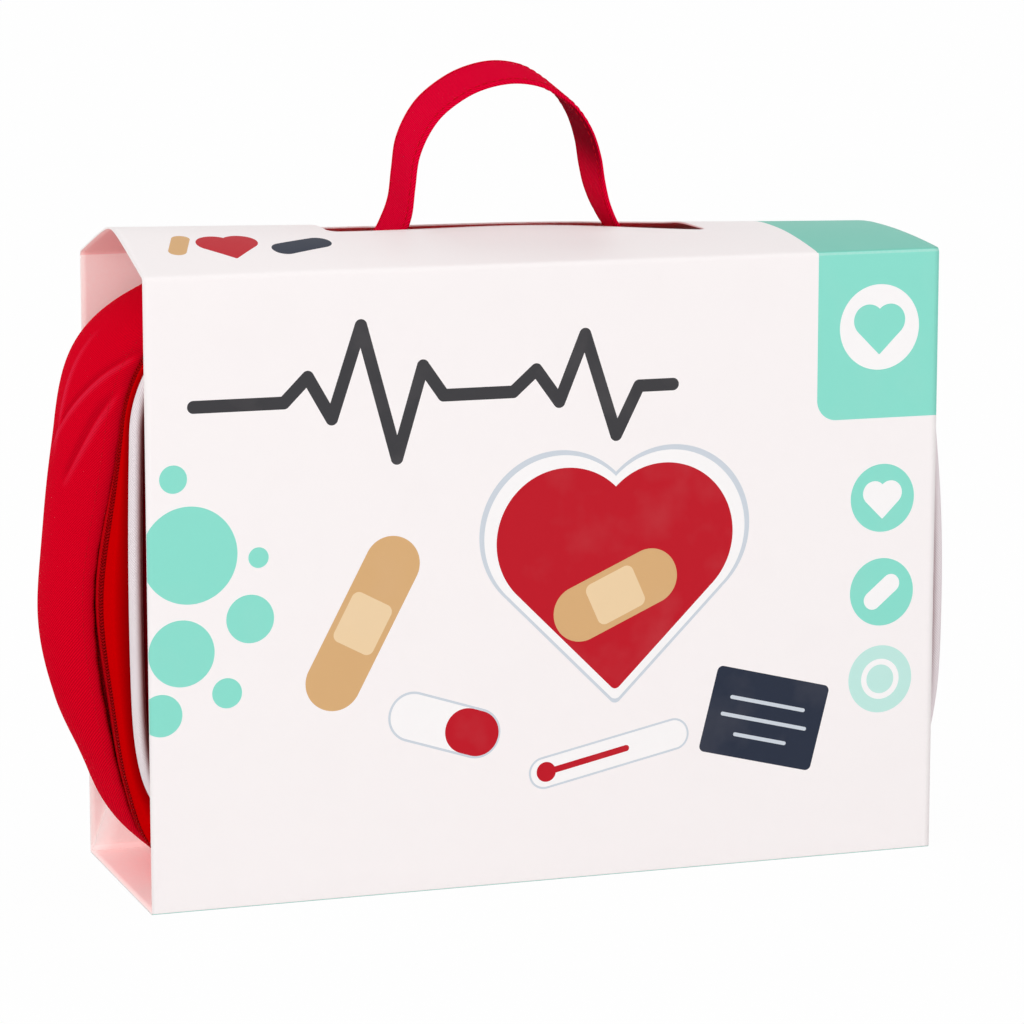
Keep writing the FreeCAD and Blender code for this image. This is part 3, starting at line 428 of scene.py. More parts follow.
# %% Pill, stick and card
PILL, STICK, CARD = (-38, 56), (20, 42), (76, 50)
for centre, long, wide, turn, rim in ((PILL, 40, 17, -18, 1.6), (STICK, 58, 11, 12, 1.4)):
    front.paint((front.capsule(centre, long, wide, turn), STEEL),
                (front.capsule(centre, long - rim, wide - rim, turn), WHITE))
front.paint((front.capsule((-28.5, 52.9), 18.8, 15.4, -18), RED_INK),
            (front.disc((-2.4, 37.4), 3.4), RED_INK),
            (front.stroke((0, 37.8), (26, 43.4), 2.2), RED_INK),
            (front.block(CARD, (42, 30), 2, -14), NAVY))
for rise, run in ((5, 26), (-1, 30), (-7, 18)):
    ends = [(CARD[0] + end * run / 2 + rise * 0.24, CARD[1] + rise - end * run * 0.125) for end in (-1, 1)]
    front.paint((front.stroke(*ends, 1.3), STEEL))
print("motifs below the heart at", PILL, STICK, CARD)

# %% Mint discs and the mint corner
SPOTS = [((-124, 118), 16), ((-104, 96), 8), ((-127, 86), 11), ((-112, 72), 5), ((-134, 66), 7),
         ((-101, 116), 3.4), ((-129, 143), 4.6)]
BADGES, BADGE_RADIUS = [(118.5, 123.5), (118.7, 91), (118.6, 60.7)], 11.7
CORNER_X, CORNER_Z = 94, 151
front.paint(*[(front.disc(centre, radius), MINT) for centre, radius in SPOTS])
front.paint(*[(front.disc(centre, BADGE_RADIUS), ink) for centre, ink in zip(BADGES, (MINT, MINT, MINT_PALE))])
front.paint((front.heart((118.5, 122.2), 8.4), WHITE),
            (front.capsule(BADGES[1], 15, 6.4, 40), WHITE),
            (front.disc(BADGES[2], 7), WHITE), (front.disc(BADGES[2], 5), MINT_PALE),
            (front.block((CORNER_X + 40, CORNER_Z + 40), (80, 80), 7), MINT),
            (front.disc((116.5, 182), 14.5), WHITE), (front.heart((116.5, 180.4), 11), MINT))

top = Print(board, x, y, PAPER)
top.paint(((x - 0.045 * y) > 95.5, MINT_DEEP), (top.heart((-104, -24), 12), RED_INK),
          (top.capsule((-80, -24), 22, 9, 20), NAVY), (top.capsule((-120, -20), 16, 6, 70), TAN))
print("mint discs:", len(SPOTS), "and badges:", len(BADGES))

# %% Board finishes
WALL_FROM = 42.9
ink = board.mix(y < -WALL_FROM, top.colour, front.colour)
ink = board.mix(y > WALL_FROM, ink, board.mix((x > CORNER_X) & (z > CORNER_Z), PAPER, MINT))
ink = board.mix(z < 0.35, ink, MINT)
mottle = board.noise(board_place, 55, 3)
ink = board.mix((mottle - 0.5) * 0.12, ink, tint(226, 214, 214))
# Painted highlight: the outer folds are painted paler, with a noise, for the light on their rounded edges.
folds = (y.math("ABSOLUTE") > 43.05) & ((z > 206.9) | (z < 0.5))
outer_fold_highlight = folds * (0.05 + board.noise(board_place, 900) * 0.2)
board.feed(board.shader, {"Base Color": board.mix(outer_fold_highlight, ink, tint(247, 242, 241)),
                          "Roughness": 0.45 + mottle * 0.12})
board.bump(board.noise(board_place, 1600) * 0.5 + board.noise(board_place, 40, 1), 0.00006, 0.5)


def fibrous(name, dark, light, scale, detail=4, depth=0.00005, strength=0.4, rough=0.85, shine=0.05):
    """Uncoated board, or thread: fibres as fine noise in the colour and the bump."""
    item = Finish(name, Roughness=rough, Specular_IOR_Level=shine)
    fibre = item.noise(item.place(), scale, detail)
    colour = item.mix(fibre, dark, light)
    item.feed(item.shader, {"Base Color": colour})
    item.bump(fibre, depth, strength)
    return item, colour


# Painted light: the inside board's own colours are tinted pink, for bounce light off the red cloth.
plain_board, plain_colour = fibrous("plain_board", tint(254, 228, 225), tint(255, 238, 235), 700)
raw_edge, _ = fibrous("raw_board_edge", tint(246, 236, 234), tint(255, 250, 248), 2500)

# Painted light inside the sleeve: the lower rear fold is painted paler, a painted highlight, and the top is
# painted redder, painted shade and red bounce light. An emission glow, most at the bottom and near the open
# ends, is painted light that stands in for light through thin board and bounce light off the red cloth.
BACK_FROM, BOTTOM_UP_TO, ROOF_FROM, GLOW_FROM, PALE_UP_TO = 41.0, 2.6, 206.5, 80, 75
across, depth, height = [part * 1000 for part in plain_board.parts(plain_board.place())]
inner_fold_highlight = (height < BOTTOM_UP_TO) & (depth > BACK_FROM)
plain_colour = plain_board.mix(height > ROOF_FROM, plain_colour, tint(250, 198, 195))
plain_colour = plain_board.mix(inner_fold_highlight * 0.35, plain_colour, tint(255, 250, 248))
glow = plain_board.mix((PALE_UP_TO - height) * 0.02, (0.09, 0.065, 0.065, 1), (0.095, 0.11, 0.108, 1))
glow = plain_board.mix(height < BOTTOM_UP_TO, glow, (0.22, 0.125, 0.125, 1))
glow = plain_board.mix((across.math("ABSOLUTE") - GLOW_FROM) * 0.03, (0, 0, 0, 1), glow)
plain_board.feed(plain_board.shader, {"Base Color": plain_colour, "Emission Color": glow,
                                      "Emission Strength": 1.0})
print("board nodes:", len(board.nodes))

# %% [markdown]
# ## Board sleeve
# One sheet is folded round the case and glued behind, so the sleeve is one grid: its rows go from
# the slot's rear edge, back and down, under, up the front and on to the slot's front edge. The
# two edges part where the slot is and meet elsewhere. Board does not dome evenly: the top is
# ridged and higher at the left end, lower at the right, and the handle lifts the slot's front lip.

# %% Roof and slot
SLEEVE_HALF, DEPTH_HALF, WALL_TOP, BOARD = 138.0, 43.5, 208.0, 0.6
SLOT_HALF, SLOT_DEPTH, SLOT_CORNER, SLOT_Y = 67.0, 16.5, 4.0, 6.0


def smooth(t):
    """0 before 0, 1 after 1, and 3t^2 - 2t^3 between."""
    t = np.clip(t, 0, 1)
    return t * t * (3 - 2 * t)


def roof(x, y):
    """Height of the top: across the depth a hyperbola, sharp at the left end and blunt elsewhere."""
    rise, crest = 7.75 - 0.0308 * x, 5.5 + 0.043 * x
    share = (y - crest) / np.where(y < crest, DEPTH_HALF + crest, DEPTH_HALF - crest)
    blunt = 0.17 + 1.4 * smooth((x + SLEEVE_HALF) / 95)
    drop = (np.sqrt(share ** 2 + blunt ** 2) - blunt) / (np.sqrt(1 + blunt ** 2) - blunt)
    lip = 2.3 * np.exp(-((x - 6) / 48) ** 2 - ((y + 10.5) / 9) ** 2)
    rear = 0.8 * np.exp(-((x - 15) / 45) ** 2 - ((y - 22.5) / 9) ** 2)
    return WALL_TOP + rise * (1 - drop) + lip + rear


def slot_edge():
    """Across and half opening along the slot's side, corner and end, then along the closed top."""
    turn, flat = np.linspace(0, np.pi / 2, 8), SLOT_HALF - SLOT_CORNER
    side = np.stack([np.linspace(0, flat, 18)[:-1], np.full(17, SLOT_DEPTH)], -1)
    corner = np.stack([flat + SLOT_CORNER * np.sin(turn), SLOT_DEPTH - SLOT_CORNER * (1 - np.cos(turn))], -1)
    end = np.stack([np.full(7, SLOT_HALF), np.linspace(SLOT_DEPTH - SLOT_CORNER, 0, 8)[1:]], -1)
    closed = np.stack([np.linspace(SLOT_HALF, SLEEVE_HALF, 27)[1:], np.zeros(26)], -1)
    return np.concatenate([side, corner, end, closed])


half_edge = slot_edge()
half_fold = np.interp(np.arange(len(half_edge)), [0, 17, 24, 31, 57], [0, 60, 72, 84, SLEEVE_HALF])
edge_x = np.concatenate([-half_edge[:0:-1, 0], half_edge[:, 0]])
opening = np.concatenate([half_edge[:0:-1, 1], half_edge[:, 1]])
columns = np.concatenate([-half_fold[:0:-1], half_fold])
print("columns of the sleeve:", len(columns))


# %% Sleeve
def line_at(y, z):
    """One lengthwise line of the sleeve."""
    return np.stack([columns, np.full(columns.shape, y), np.full(columns.shape, z)], -1)


def roof_rows(side, steps, soft):
    """Rows of the top from the slot's edge to the fold on one side, -1 for the front and 1 for the rear."""
    t = np.linspace(0, 1, steps)[:, None]
    across = (1 - t) * edge_x + t * columns
    depth = (1 - t) * (SLOT_Y + side * opening) + t * side * (DEPTH_HALF - soft)
    return np.stack([across, depth, roof(across, depth)], -1)


def folded(before, corner, after, steps=7):
    """A fold: a quadratic curve from one line to another that bends towards the corner between them."""
    t = np.linspace(0, 1, steps)[:, None, None]
    return (1 - t) ** 2 * before + 2 * t * (1 - t) * corner + t ** 2 * after


def level(start, end, steps):
    """The lines between two lines, in even steps, without the two themselves."""
    t = np.linspace(0, 1, steps)[1:-1, None, None]
    return (1 - t) * start + t * end


SOFT, CRISP = 1.6, 0.9
rear_top, front_top = roof_rows(1, 22, SOFT), roof_rows(-1, 28, SOFT)[::-1]
rear_high, rear_low = line_at(DEPTH_HALF, WALL_TOP - SOFT), line_at(DEPTH_HALF, CRISP)
front_high, front_low = line_at(-DEPTH_HALF, WALL_TOP - SOFT), line_at(-DEPTH_HALF, CRISP)
foot_rear, foot_front = line_at(DEPTH_HALF - CRISP, 0), line_at(CRISP - DEPTH_HALF, 0)
sleeve_rows = np.concatenate([
    rear_top[:-1], folded(rear_top[-1], line_at(DEPTH_HALF, WALL_TOP), rear_high), level(rear_high, rear_low, 26),
    folded(rear_low, line_at(DEPTH_HALF, 0), foot_rear), level(foot_rear, foot_front, 14),
    folded(foot_front, line_at(-DEPTH_HALF, 0), front_low), level(front_low, front_high, 26),
    folded(front_high, line_at(-DEPTH_HALF, WALL_TOP), front_top[0]), front_top[1:]])
sleeve = face_away(merge(surface("printed_sleeve", sleeve_rows, board)), (0, 0, 104))
for finish in (plain_board, raw_edge):
    sleeve.data.materials.append(finish.block)
thicken(sleeve, BOARD, material_offset=1, material_offset_rim=2)
settle(sleeve, "sleeve_board", "sleeve", body="sleeve")

# %% [markdown]
# Inside the back, the bottom panel's glue flap shows at the open ends as a strip with mitred ends.

# %% Glue flap
rise = np.linspace(0, 1, 8)[:, None]
flap_x = np.linspace(-1, 1, 40)[None, :] * (SLEEVE_HALF - 0.3 - 9 * rise)
flap_z = np.broadcast_to(BOARD + 0.05 + 26 * rise, flap_x.shape)
flap_y = np.broadcast_to(DEPTH_HALF - BOARD - 0.05 - 0.3 * rise ** 2, flap_x.shape)
flap = face_away(surface("glue_flap", np.stack([flap_x, flap_y, flap_z], -1), plain_board), (0, 80, 10))
flap.data.materials.append(raw_edge.block)
thicken(flap, 0.7, offset=1, material_offset_rim=1)
settle(flap, "sleeve_board", body="sleeve")

# %% [markdown]
# ## Red cloth
# The case is a polyester twill: fine ridges that run slantwise, each about a millimetre wide,
# with hardly any shine. The ridges come from the map of lengths, so they follow each panel round.
# Each point may also carry a painted light value, from -1 to 1: painted shade in seams and shaded hollows at -1,
# painted highlight on fold ridges at 1.


# %% Cloth finishes
def twill(name, colour, shade, pitch=1.0, slant=-1.0, depth=0.00016, glow=(1.0, 0.0, 0.1, 1),
          painted_highlight=tint(242, 70, 108), painted_shade=tint(58, 0, 4)):
    """Slanting ridges of one pitch in millimetres, crossed by finer threads, with a painted highlight where a
    point's value is above 0 and a painted shade where it is below.
    """
    cloth = Finish(name, Specular_IOR_Level=0.01, Sheen_Weight=0.06, Sheen_Roughness=0.4, Sheen_Tint=glow)
    chart = cloth.place("UV")
    across, along, _ = cloth.parts(chart)
    waver = cloth.noise(chart, 60) * 0.0006
    ridge = (along * slant + across + waver).wave(pitch / 1000)
    thread = (along - across * slant).wave(pitch / 2400)
    cloud = cloth.noise(chart, 28, 3)
    painted_shading = cloth.add("Attribute", {"attribute_name": "painted_shading"}, out="Fac")
    base = cloth.mix((cloud - 0.5) * 0.2, cloth.mix(ridge * 0.7 + thread * 0.3, shade, colour), shade)
    # Painted highlight towards the pale colour above 0, painted shade towards the deep colour below 0.
    base = cloth.mix(painted_shading * -1.0, cloth.mix(painted_shading * 0.45, base, painted_highlight), painted_shade)
    cloth.feed(cloth.shader, {"Base Color": base, "Roughness": 0.75 + cloud * 0.2})
    cloth.bump(ridge * 0.8 + thread * 0.2 + cloud * 0.6, depth, 0.7)
    return cloth


PALE_GLOW = (1, 1, 1, 1)
red_cloth = twill("red_twill", tint(243, 0, 38), tint(180, 0, 21))
strap_cloth = twill("red_strap_twill", tint(255, 0, 60), tint(188, 0, 30), pitch=1.2, depth=0.00025)
tape_cloth = twill("zip_tape_twill", tint(210, 0, 12), tint(176, 0, 6), pitch=0.9, slant=1.2)
lining_cloth = twill("lining_twill", tint(190, 2, 24), tint(164, 0, 18), pitch=0.6)
# The piping's painted shade is brownish pink, for shadow and bounce light off the red cloth.
piping_cloth = twill("white_piping_cloth", tint(254, 246, 248), tint(224, 209, 214), pitch=0.9, slant=1.0,
                     depth=0.0003, glow=PALE_GLOW, painted_shade=tint(150, 86, 84))
ribbon_cloth = twill("dark_ribbon", tint(126, 4, 20), tint(96, 0, 14), pitch=0.6, slant=0.0)
soft_cloth = twill("white_soft_cloth", tint(248, 248, 248), tint(226, 228, 230), pitch=0.5, slant=0.0,
                   glow=PALE_GLOW)
strip_cloth = Finish("smooth_red_strip", Roughness=0.6, Specular_IOR_Level=0.0)
across, _, _ = strip_cloth.parts(strip_cloth.place("UV"))
grain = strip_cloth.noise(strip_cloth.place("UV"), 900, 3)
strip_red = strip_cloth.mix(grain, tint(192, 0, 2), tint(208, 0, 5))
# Painted shade: the strip darkens to a deep red over its first 10 mm from the piping.
strip_cloth.feed(strip_cloth.shader, {"Base Color": strip_cloth.mix(across * 95, tint(104, 0, 2), strip_red)})
strip_cloth.bump(grain, 0.00003, 0.5)
print("cloth finishes share one formula:", red_cloth.block.name, piping_cloth.block.name)

# %% [markdown]
# ## The case's outlines
# Seen from the front, each band of the case has the same kind of outline: level top and bottom,
# bowed sides, and round corners that run smoothly into both. One function gives the points and
# the outward directions, with the same number in each stretch, so bands can be blended. A soft
# case also slumps: its shoulders fill out, its belly sinks and its lower corners draw in.

# %% Outlines
CENTRE, FLOOR_LEVEL, CEILING = 101.9, 0.75, 203.3
FRONT, LID_SEAM, ZIP_FRONT, CHAIN, TRAY_SEAM = -41.3, -37.3, -20.3, -17.3, -8.8
BELLY, LINED_BACK, BACK_SEAM, BACK = 16.2, 34.1, 36.3, 41.3
SHAPES = {"front": (143.0, 97.5, 43.0, 1500.0), "zip": (146.5, 101.0, 55.0, 270.0),
          "belly": (158.0, 101.0, 62.0, 240.0), "back": (151.0, 101.0, 60.0, 260.0)}
LEFT, BOTH, RIGHT = -1, 0, 1
SLUMPS = {"front": ((LEFT, -5.5, 26, 20), (RIGHT, -3.6, 168, 42), (RIGHT, -2.6, 34, 17)),
          "zip": ((LEFT, -2.1, 142, 27), (LEFT, 1.3, 98, 22), (LEFT, 0.8, 44, 14), (LEFT, 5.5, 18, 14)),
          "belly": ((BOTH, 4.4, 181, 19), (BOTH, 2.6, 86, 24), (BOTH, -2.9, 40, 15)),
          "back": ((BOTH, 4.0, 181, 19), (BOTH, 2.3, 86, 24), (BOTH, -2.6, 40, 15))}


def slump(name, across, height):
    """How far a soft side stands out, in millimetres: bell curves up its height, on one side or both."""
    bells = [size * np.exp(-((height - middle) / spread) ** 2) * ((side == BOTH) | (np.sign(across) == side))
             for side, size, middle, spread in SLUMPS[name]]
    return np.sum(bells, axis=0)


def outline(name, inset=0.0, fine=1):
    """Points (x, z) and outward directions of an outline, from the middle of its foot round by the right."""
    half, high, corner, side = [size - inset for size in SHAPES[name]]
    lift, hub, reach = high - corner, half - side, side - corner
    run = math.sqrt(reach ** 2 - lift ** 2)
    across, bend, quarter = hub + run, math.atan2(lift, run), math.pi / 2

    def straight(start, end, up, steps):
        t = np.arange(steps * fine) / (steps * fine)
        line = np.stack([start + (end - start) * t, np.full(t.shape, up * high)], -1)
        return line, np.broadcast_to([0.0, up], line.shape)

    def bowed(middle_x, middle_z, radius, start, end, steps):
        angle = start + (end - start) * np.arange(steps * fine) / (steps * fine)
        away = np.stack([np.cos(angle), np.sin(angle)], -1)
        return np.array([middle_x, middle_z]) + radius * away, away

    stretches = [
        straight(0, across, -1, 12), bowed(across, -lift, corner, -quarter, -bend, 24),
        bowed(hub, 0, side, -bend, bend, 40), bowed(across, lift, corner, bend, quarter, 24),
        straight(across, -across, 1, 24), bowed(-across, lift, corner, quarter, math.pi - bend, 24),
        bowed(-hub, 0, side, math.pi - bend, math.pi + bend, 40),
        bowed(-across, -lift, corner, math.pi + bend, 3 * quarter, 24), straight(-across, 0, -1, 12)]
    points, away = [np.concatenate(part) for part in zip(*stretches)]
    points = points + [0, CENTRE]
    soft = slump(name, *points.T) * smooth(np.abs(away[:, 0]) / 0.4)
    return points + soft[:, None] * away, away


def upright(flat, depth=0.0):
    """Points or directions (x, z) set upright in space, with a depth y for each."""
    return np.stack([flat[..., 0], np.broadcast_to(np.asarray(depth, float), flat.shape[:-1]), flat[..., 1]], -1)


def in_depth(points, depth):
    """Points (x, z) at each depth, kept between the sleeve's bottom and top."""
    return upright(np.stack([points[..., 0], np.clip(points[..., 1], FLOOR_LEVEL, CEILING)], -1), depth)


def unit(vectors):
    return vectors / np.linalg.norm(vectors, axis=-1, keepdims=True)


print("points round an outline:", len(outline("zip")[0]))

# %% [markdown]
# ## Tray side
# The deep side is a strip of cloth sewn between the zip and the back. It bellies out under what
# is packed inside. It is a shell through three outlines, with the drag folds and the small
# puckers that sewn cloth has. Its front edge gapes a little over the zip's tape, lower down.


# %% Side strip between outlines
def blend_outlines(depth, inset, fine):
    """The tray's outline at each depth: a quadratic through the zip, belly and back outlines."""
    stations = [("zip", TRAY_SEAM), ("belly", BELLY), ("back", BACK_SEAM)]
    total, facing = 0, 0
    for name, here in stations:
        weight = np.ones_like(depth)
        for other, there in stations:
            if other != name:
                weight = weight * (depth - there) / (here - there)
        points, away = outline(name, inset, fine)
        total = total + weight[:, None, None] * points[None]
        facing = facing + weight[:, None, None] * away[None]
    return total, unit(facing)


def fold_line(depth, height, start, slope, top, bottom, size, wide):
    """A drag fold: a ridge along depth = start + slope * (top - height), fading out at both ends."""
    along = (top - height) / (top - bottom)
    path = start + slope * (top - height)
    return size * np.exp(-((depth - path) / wide) ** 2) * np.sin(np.pi * np.clip(along, 0, 1)) ** 0.7


# Each fold's start, slope, top, bottom, size and width: ridges from the upper corner, a dip behind most.
DRAGS = [(-12, 0.8, 184, 142, 0.55, 1.3), (-9.2, 0.8, 182, 144, -0.3, 2.0), (-8.8, 0.42, 170, 134, 0.42, 1.1),
         (-6.4, 0.42, 168, 136, -0.3, 1.8), (10.5, 0.12, 186, 142, 0.4, 1.0), (18, 0.2, 66, 12, 0.4, 1.5)]


def drags(depth, height):
    """All the drag folds together, in millimetres."""
    return sum(fold_line(depth, height, *fold) for fold in DRAGS)


def ruffle(run, depth):
    """Slow waves over the cloth, and puckers along its seams."""
    share = (depth - TRAY_SEAM) / (BACK_SEAM - TRAY_SEAM)
    waves = np.sin(run / 31 + 1.3 * np.sin(depth / 9)) * np.sin(depth / 7 + run / 60) * np.sin(np.pi * share)
    puckers = np.sin(run / 1.5 + np.sin(run / 11)) * (np.exp(-share * 9) + 0.3 * np.exp(-(1 - share) * 9))
    return 0.25 * waves + 0.1 * puckers


def travelled(path):
    """Distance along a run of points, from 0 at its start."""
    return np.concatenate([[0], np.cumsum(np.linalg.norm(np.diff(path, axis=0), axis=-1))])


# %% Gusset
seam_depths = TRAY_SEAM + np.array([0, 0.5, 1.0, 1.6, 2.3])
depths = np.concatenate([seam_depths, np.linspace(TRAY_SEAM + 3.2, BACK_SEAM, 56)])
depth = depths[:, None]
side_points, side_away = blend_outlines(depths, 0, 3)
run = travelled(side_points[20])[None, :]
sideways, height = smooth(np.abs(side_away[..., 0]) / 0.5), side_points[..., 1]
folds = drags(depth, height) * sideways * smooth((depth - TRAY_SEAM) / 2) * smooth((BACK_SEAM - depth) / 20)
folds = folds * np.where(side_points[..., 0] < 0, 1.0, 0.35)
gape = (1.45 * np.exp(-((height - 70) / 36) ** 2) - 0.55) * (1 + 0.35 * np.sin(run / 8)) * sideways
cloth_shift = folds + ruffle(run, depth) + gape * np.exp(-(depth - TRAY_SEAM) / 3)
overlap = 4.6 * smooth((height[0] - 116) / 40) * smooth((-side_points[0, :, 0] - 60) / 60)
cloth_depth = depth - overlap * np.exp(-(depth - TRAY_SEAM) / 5)
gusset_points = in_depth(side_points + cloth_shift[..., None] * side_away, cloth_depth)
# Painted highlight on the drag folds' ridges; painted shade in their dips and along the cloth's front edge.
painted_shading = np.clip(folds / 0.7, -0.2, 0.8) - 0.4 * np.exp(-(depth - TRAY_SEAM) / 1.5)
gusset = face_away(surface("tray_side", gusset_points, red_cloth, wrap_cols=True, painted_shading=painted_shading), (0, 10, CENTRE))
thicken(gusset, 0.9)
settle(gusset, "red_fabric", "tray_gusset")

# %% [markdown]
# ## Stitches
# Sewn seams show as a row of short threads. Each is a little barrel that swells in its middle, so
# one barrel is worked out and all of them are placed at once along the seam.


# %% Rows of stitches
def even_path(path, spacing, facing):
    """Points at even distances along a run of points, with the directions ahead and outwards there."""
    steps = travelled(path)
    at = np.arange(spacing / 2, steps[-1], spacing)

    def read(values, where):
        return np.stack([np.interp(where, steps, values[:, axis]) for axis in range(3)], -1)

    return read(path, at), unit(read(path, at + 0.2) - read(path, at - 0.2)), unit(read(facing, at))


def stitches(name, rows, finish, pitch=2.6, long=1.9, thick=0.42):
    """Threads along (path, facing) rows: at t from -1 to 1 each has a ring of radius thick/2 * (1 - t^2)^0.3."""
    t, angle = np.array([-0.97, -0.6, 0, 0.6, 0.97]), np.arange(6) * math.pi / 3
    radius = (thick / 2 * (1 - t ** 2) ** 0.3)[:, None, None]
    threads = []
    for path, facing in rows:
        spots, course, up = [part[:, None, None] for part in even_path(path, pitch, facing)]
        ring = np.cos(angle)[:, None] * up + np.sin(angle)[:, None] * np.cross(course, up)
        threads.append(spots + (t * long / 2)[:, None, None] * course + radius * ring)
    points = np.concatenate(threads)
    first = 30 * np.arange(len(points))[:, None, None]
    faces = (quads(5, 6, wrap_cols=True)[None] + first).reshape(-1, 4).tolist()
    for cap in (np.arange(6)[::-1], np.arange(24, 30)):
        faces += (cap[None, None] + first).reshape(-1, 6).tolist()
    return merge(new_mesh(name, points, faces, finish), outwards=True)


def off_floor(path, facing, low=3.0):
    """The part of a closed path that stands above a level, from its one end to its other."""
    keep = path[:, 2] > low
    start = int(np.argmax(keep & ~np.roll(keep, 1)))
    return np.roll(path, -start, 0)[:keep.sum()], np.roll(facing, -start, 0)[:keep.sum()]


# %% Seams along the gusset
SUNK = 0.04
red_thread, _ = fibrous("red_thread", tint(176, 0, 20), tint(214, 0, 30), 2400, 2, 0.00008, 0.6, 0.7, 0.1)
side_facing = upright(side_away)
seams = [off_floor(gusset_points[row] - SUNK * side_facing[row], side_facing[row])
         for row in (len(seam_depths), len(depths) - 4)]
settle(stitches("tray_seam_stitches", seams, red_thread, thick=0.3), "red_fabric")

# %% [markdown]
# ## Lid side, piping and zip
# The lid's own side is a narrow, smooth strip, drawn in where it is sewn to the piping. White
# piping runs round the front edge: a cord in a folded tape whose flat wing lies on the panel.
# Each is a profile carried round an outline.

# %% Lid strip
share = np.concatenate([[0], np.linspace(0.02, 0.98, 26), [1.0]])[:, None, None]
(start_points, start_away), (end_points, end_away) = outline("front", 0.5, 2), outline("zip", 0.0, 2)
strip_away = (1 - share) * start_away + share * end_away
drawn_in = 2.4 * np.exp(-(share / 0.09) ** 2) + 0.9 * np.exp(-((1 - share) / 0.05) ** 2)
swell = 0.8 * np.sin(np.pi * share) - drawn_in
strip_points = (1 - share) * start_points + share * end_points + swell * strip_away
strip_depth = LID_SEAM + (ZIP_FRONT - LID_SEAM) * share[..., 0]
strip = surface("lid_side", in_depth(strip_points, strip_depth), strip_cloth, wrap_cols=True)
thicken(face_away(strip, (0, -29, CENTRE)), 1.2)
settle(strip, "red_strip", "lid_strip")


# %% Piping
def carried(name, path, away, profile, finish, closed=True, painted_shading=None):
    """A closed profile of (outwards, depth) pairs carried along an outline, with a painted light value per pair."""
    spread = path[:, None, :] + profile[None, :, :1] * away[:, None, :]
    grid = upright(spread, profile[None, :, 1])
    return merge(surface(name, grid, finish, closed, True, not closed, painted_shading), outwards=True)


turn = np.radians(np.linspace(-200, 130, 22))
cord_profile = 2.1 * np.stack([np.cos(turn), np.sin(turn)], -1)
wing = np.array([[-2.3, 1.5], [-2.9, 1.7], [-3.0, 1.5], [-2.9, 1.2], [-2.2, 0.9]])
path, away = outline("front", 2.0, 2)
section = np.concatenate([cord_profile, wing]) + [0, LID_SEAM - 2.0]
# Painted shade: at the left end, the cord's inner side and its wing are darkened to a brownish pink, for the sleeve
# edge's shadow and red bounce light.
shaded = np.concatenate([smooth((np.radians(-62) - turn) / 1.6), np.ones(len(wing))])
left_end = smooth((-path[:, :1] - 110) / 25)
piping = carried("front_piping", path, away, section, piping_cloth, painted_shading=-shaded * left_end)
settle(piping, "white_piping", "lid_piping")

# %% [markdown]
# The zip is a coil zip: two tapes, and on each a nylon thread wound into a fine spiral. The
# spirals' turns mesh, which at this size reads as a dark ribbed line. Two helices carried along
# the outline give real turns for the light to catch.

# %% Zip tapes
HINGE_REACH = 97.0


def zip_path(inset, fine):
    """The zip's outline without the hinge's length at its foot, from the right end round to the left."""
    points, away = outline("zip", inset, fine)
    keep = ~((np.abs(points[:, 0]) < HINGE_REACH) & (points[:, 1] < CENTRE - 70))
    return points[keep], away[keep]


def tape(name, start, end, thick=0.6):
    """A flat woven tape between two depths, with a rounded section."""
    profile = np.array([[0, start], [0, end], [-thick / 2, end + 0.1], [-thick, end], [-thick, start],
                        [-thick / 2, start - 0.1]])
    return carried(name, *zip_path(0.8, 2), profile, tape_cloth, closed=False)


settle(tape("lid_zip_tape", ZIP_FRONT, CHAIN - 0.4), "zip_tape", "zip_tape_lid")
settle(tape("tray_zip_tape", CHAIN + 0.4, TRAY_SEAM + 4), "zip_tape", "zip_tape_tray")

# %% Zip coils
coil_nylon = Finish("dark_red_nylon", Roughness=0.5, Specular_IOR_Level=0.01)
streak = coil_nylon.noise(coil_nylon.place(), 380)
coil_nylon.feed(coil_nylon.shader, {"Base Color": coil_nylon.mix(streak, tint(142, 0, 6), tint(192, 2, 14)),
                                    "Roughness": 0.4 + streak * 0.2})


def zip_line(depth, inset):
    """The zip's path in space at one depth, with its outward directions."""
    points, away = zip_path(inset, 3)
    return upright(points, depth), upright(away)


def coil(name, depth, inwards, pitch=1.05, wire=0.27, per_turn=10):
    """A helix round the zip's line: outwards by a cosine, towards the other coil by a sine."""
    path, facing = zip_line(depth, 0.5)
    spots, course, up = even_path(path, pitch / per_turn, facing)
    phase = (2 * math.pi * np.arange(len(spots)) / per_turn)[:, None]
    centre = spots + 0.38 * np.cos(phase) * up + np.sin(phase) * (0.25 * pitch * course + [0, 1.15 * inwards, 0])
    tangent = np.gradient(centre, axis=0)
    first = unit(np.cross(tangent, course))
    second = unit(np.cross(tangent, first))
    angle = (np.arange(4) * math.pi / 2)[None, :, None]
    tube = centre[:, None] + wire * (np.cos(angle) * first[:, None] + np.sin(angle) * second[:, None])
    return merge(surface(name, tube, coil_nylon, wrap_cols=True, caps=True), outwards=True)


COIL_OFF = 1.7
settle(coil("lid_zip_coil", CHAIN - COIL_OFF, 1), "zip_coil", "zip_coil_lid")
settle(coil("tray_zip_coil", CHAIN + COIL_OFF, -1), "zip_coil", "zip_coil_tray")
tape_rows = [zip_line(depth, 0.75) for depth in (CHAIN + 3.4, CHAIN + 4.4)]
settle(stitches("tape_stitches", tape_rows, red_thread, pitch=1.7, long=1.3, thick=0.3), "zip_tape")

# %% [markdown]
# ## Handle
# The handle is one strip of folded cloth, 25 mm wide, sewn flat on the case at both ends. It was
# squeezed through the slot, so its loop is uneven: the left leg stands up, the crest lies left of
# the middle, and the right leg slopes. Its line is a smooth curve through a few points in the
# plane that it leans in, and a flat profile with round edges is carried along it.


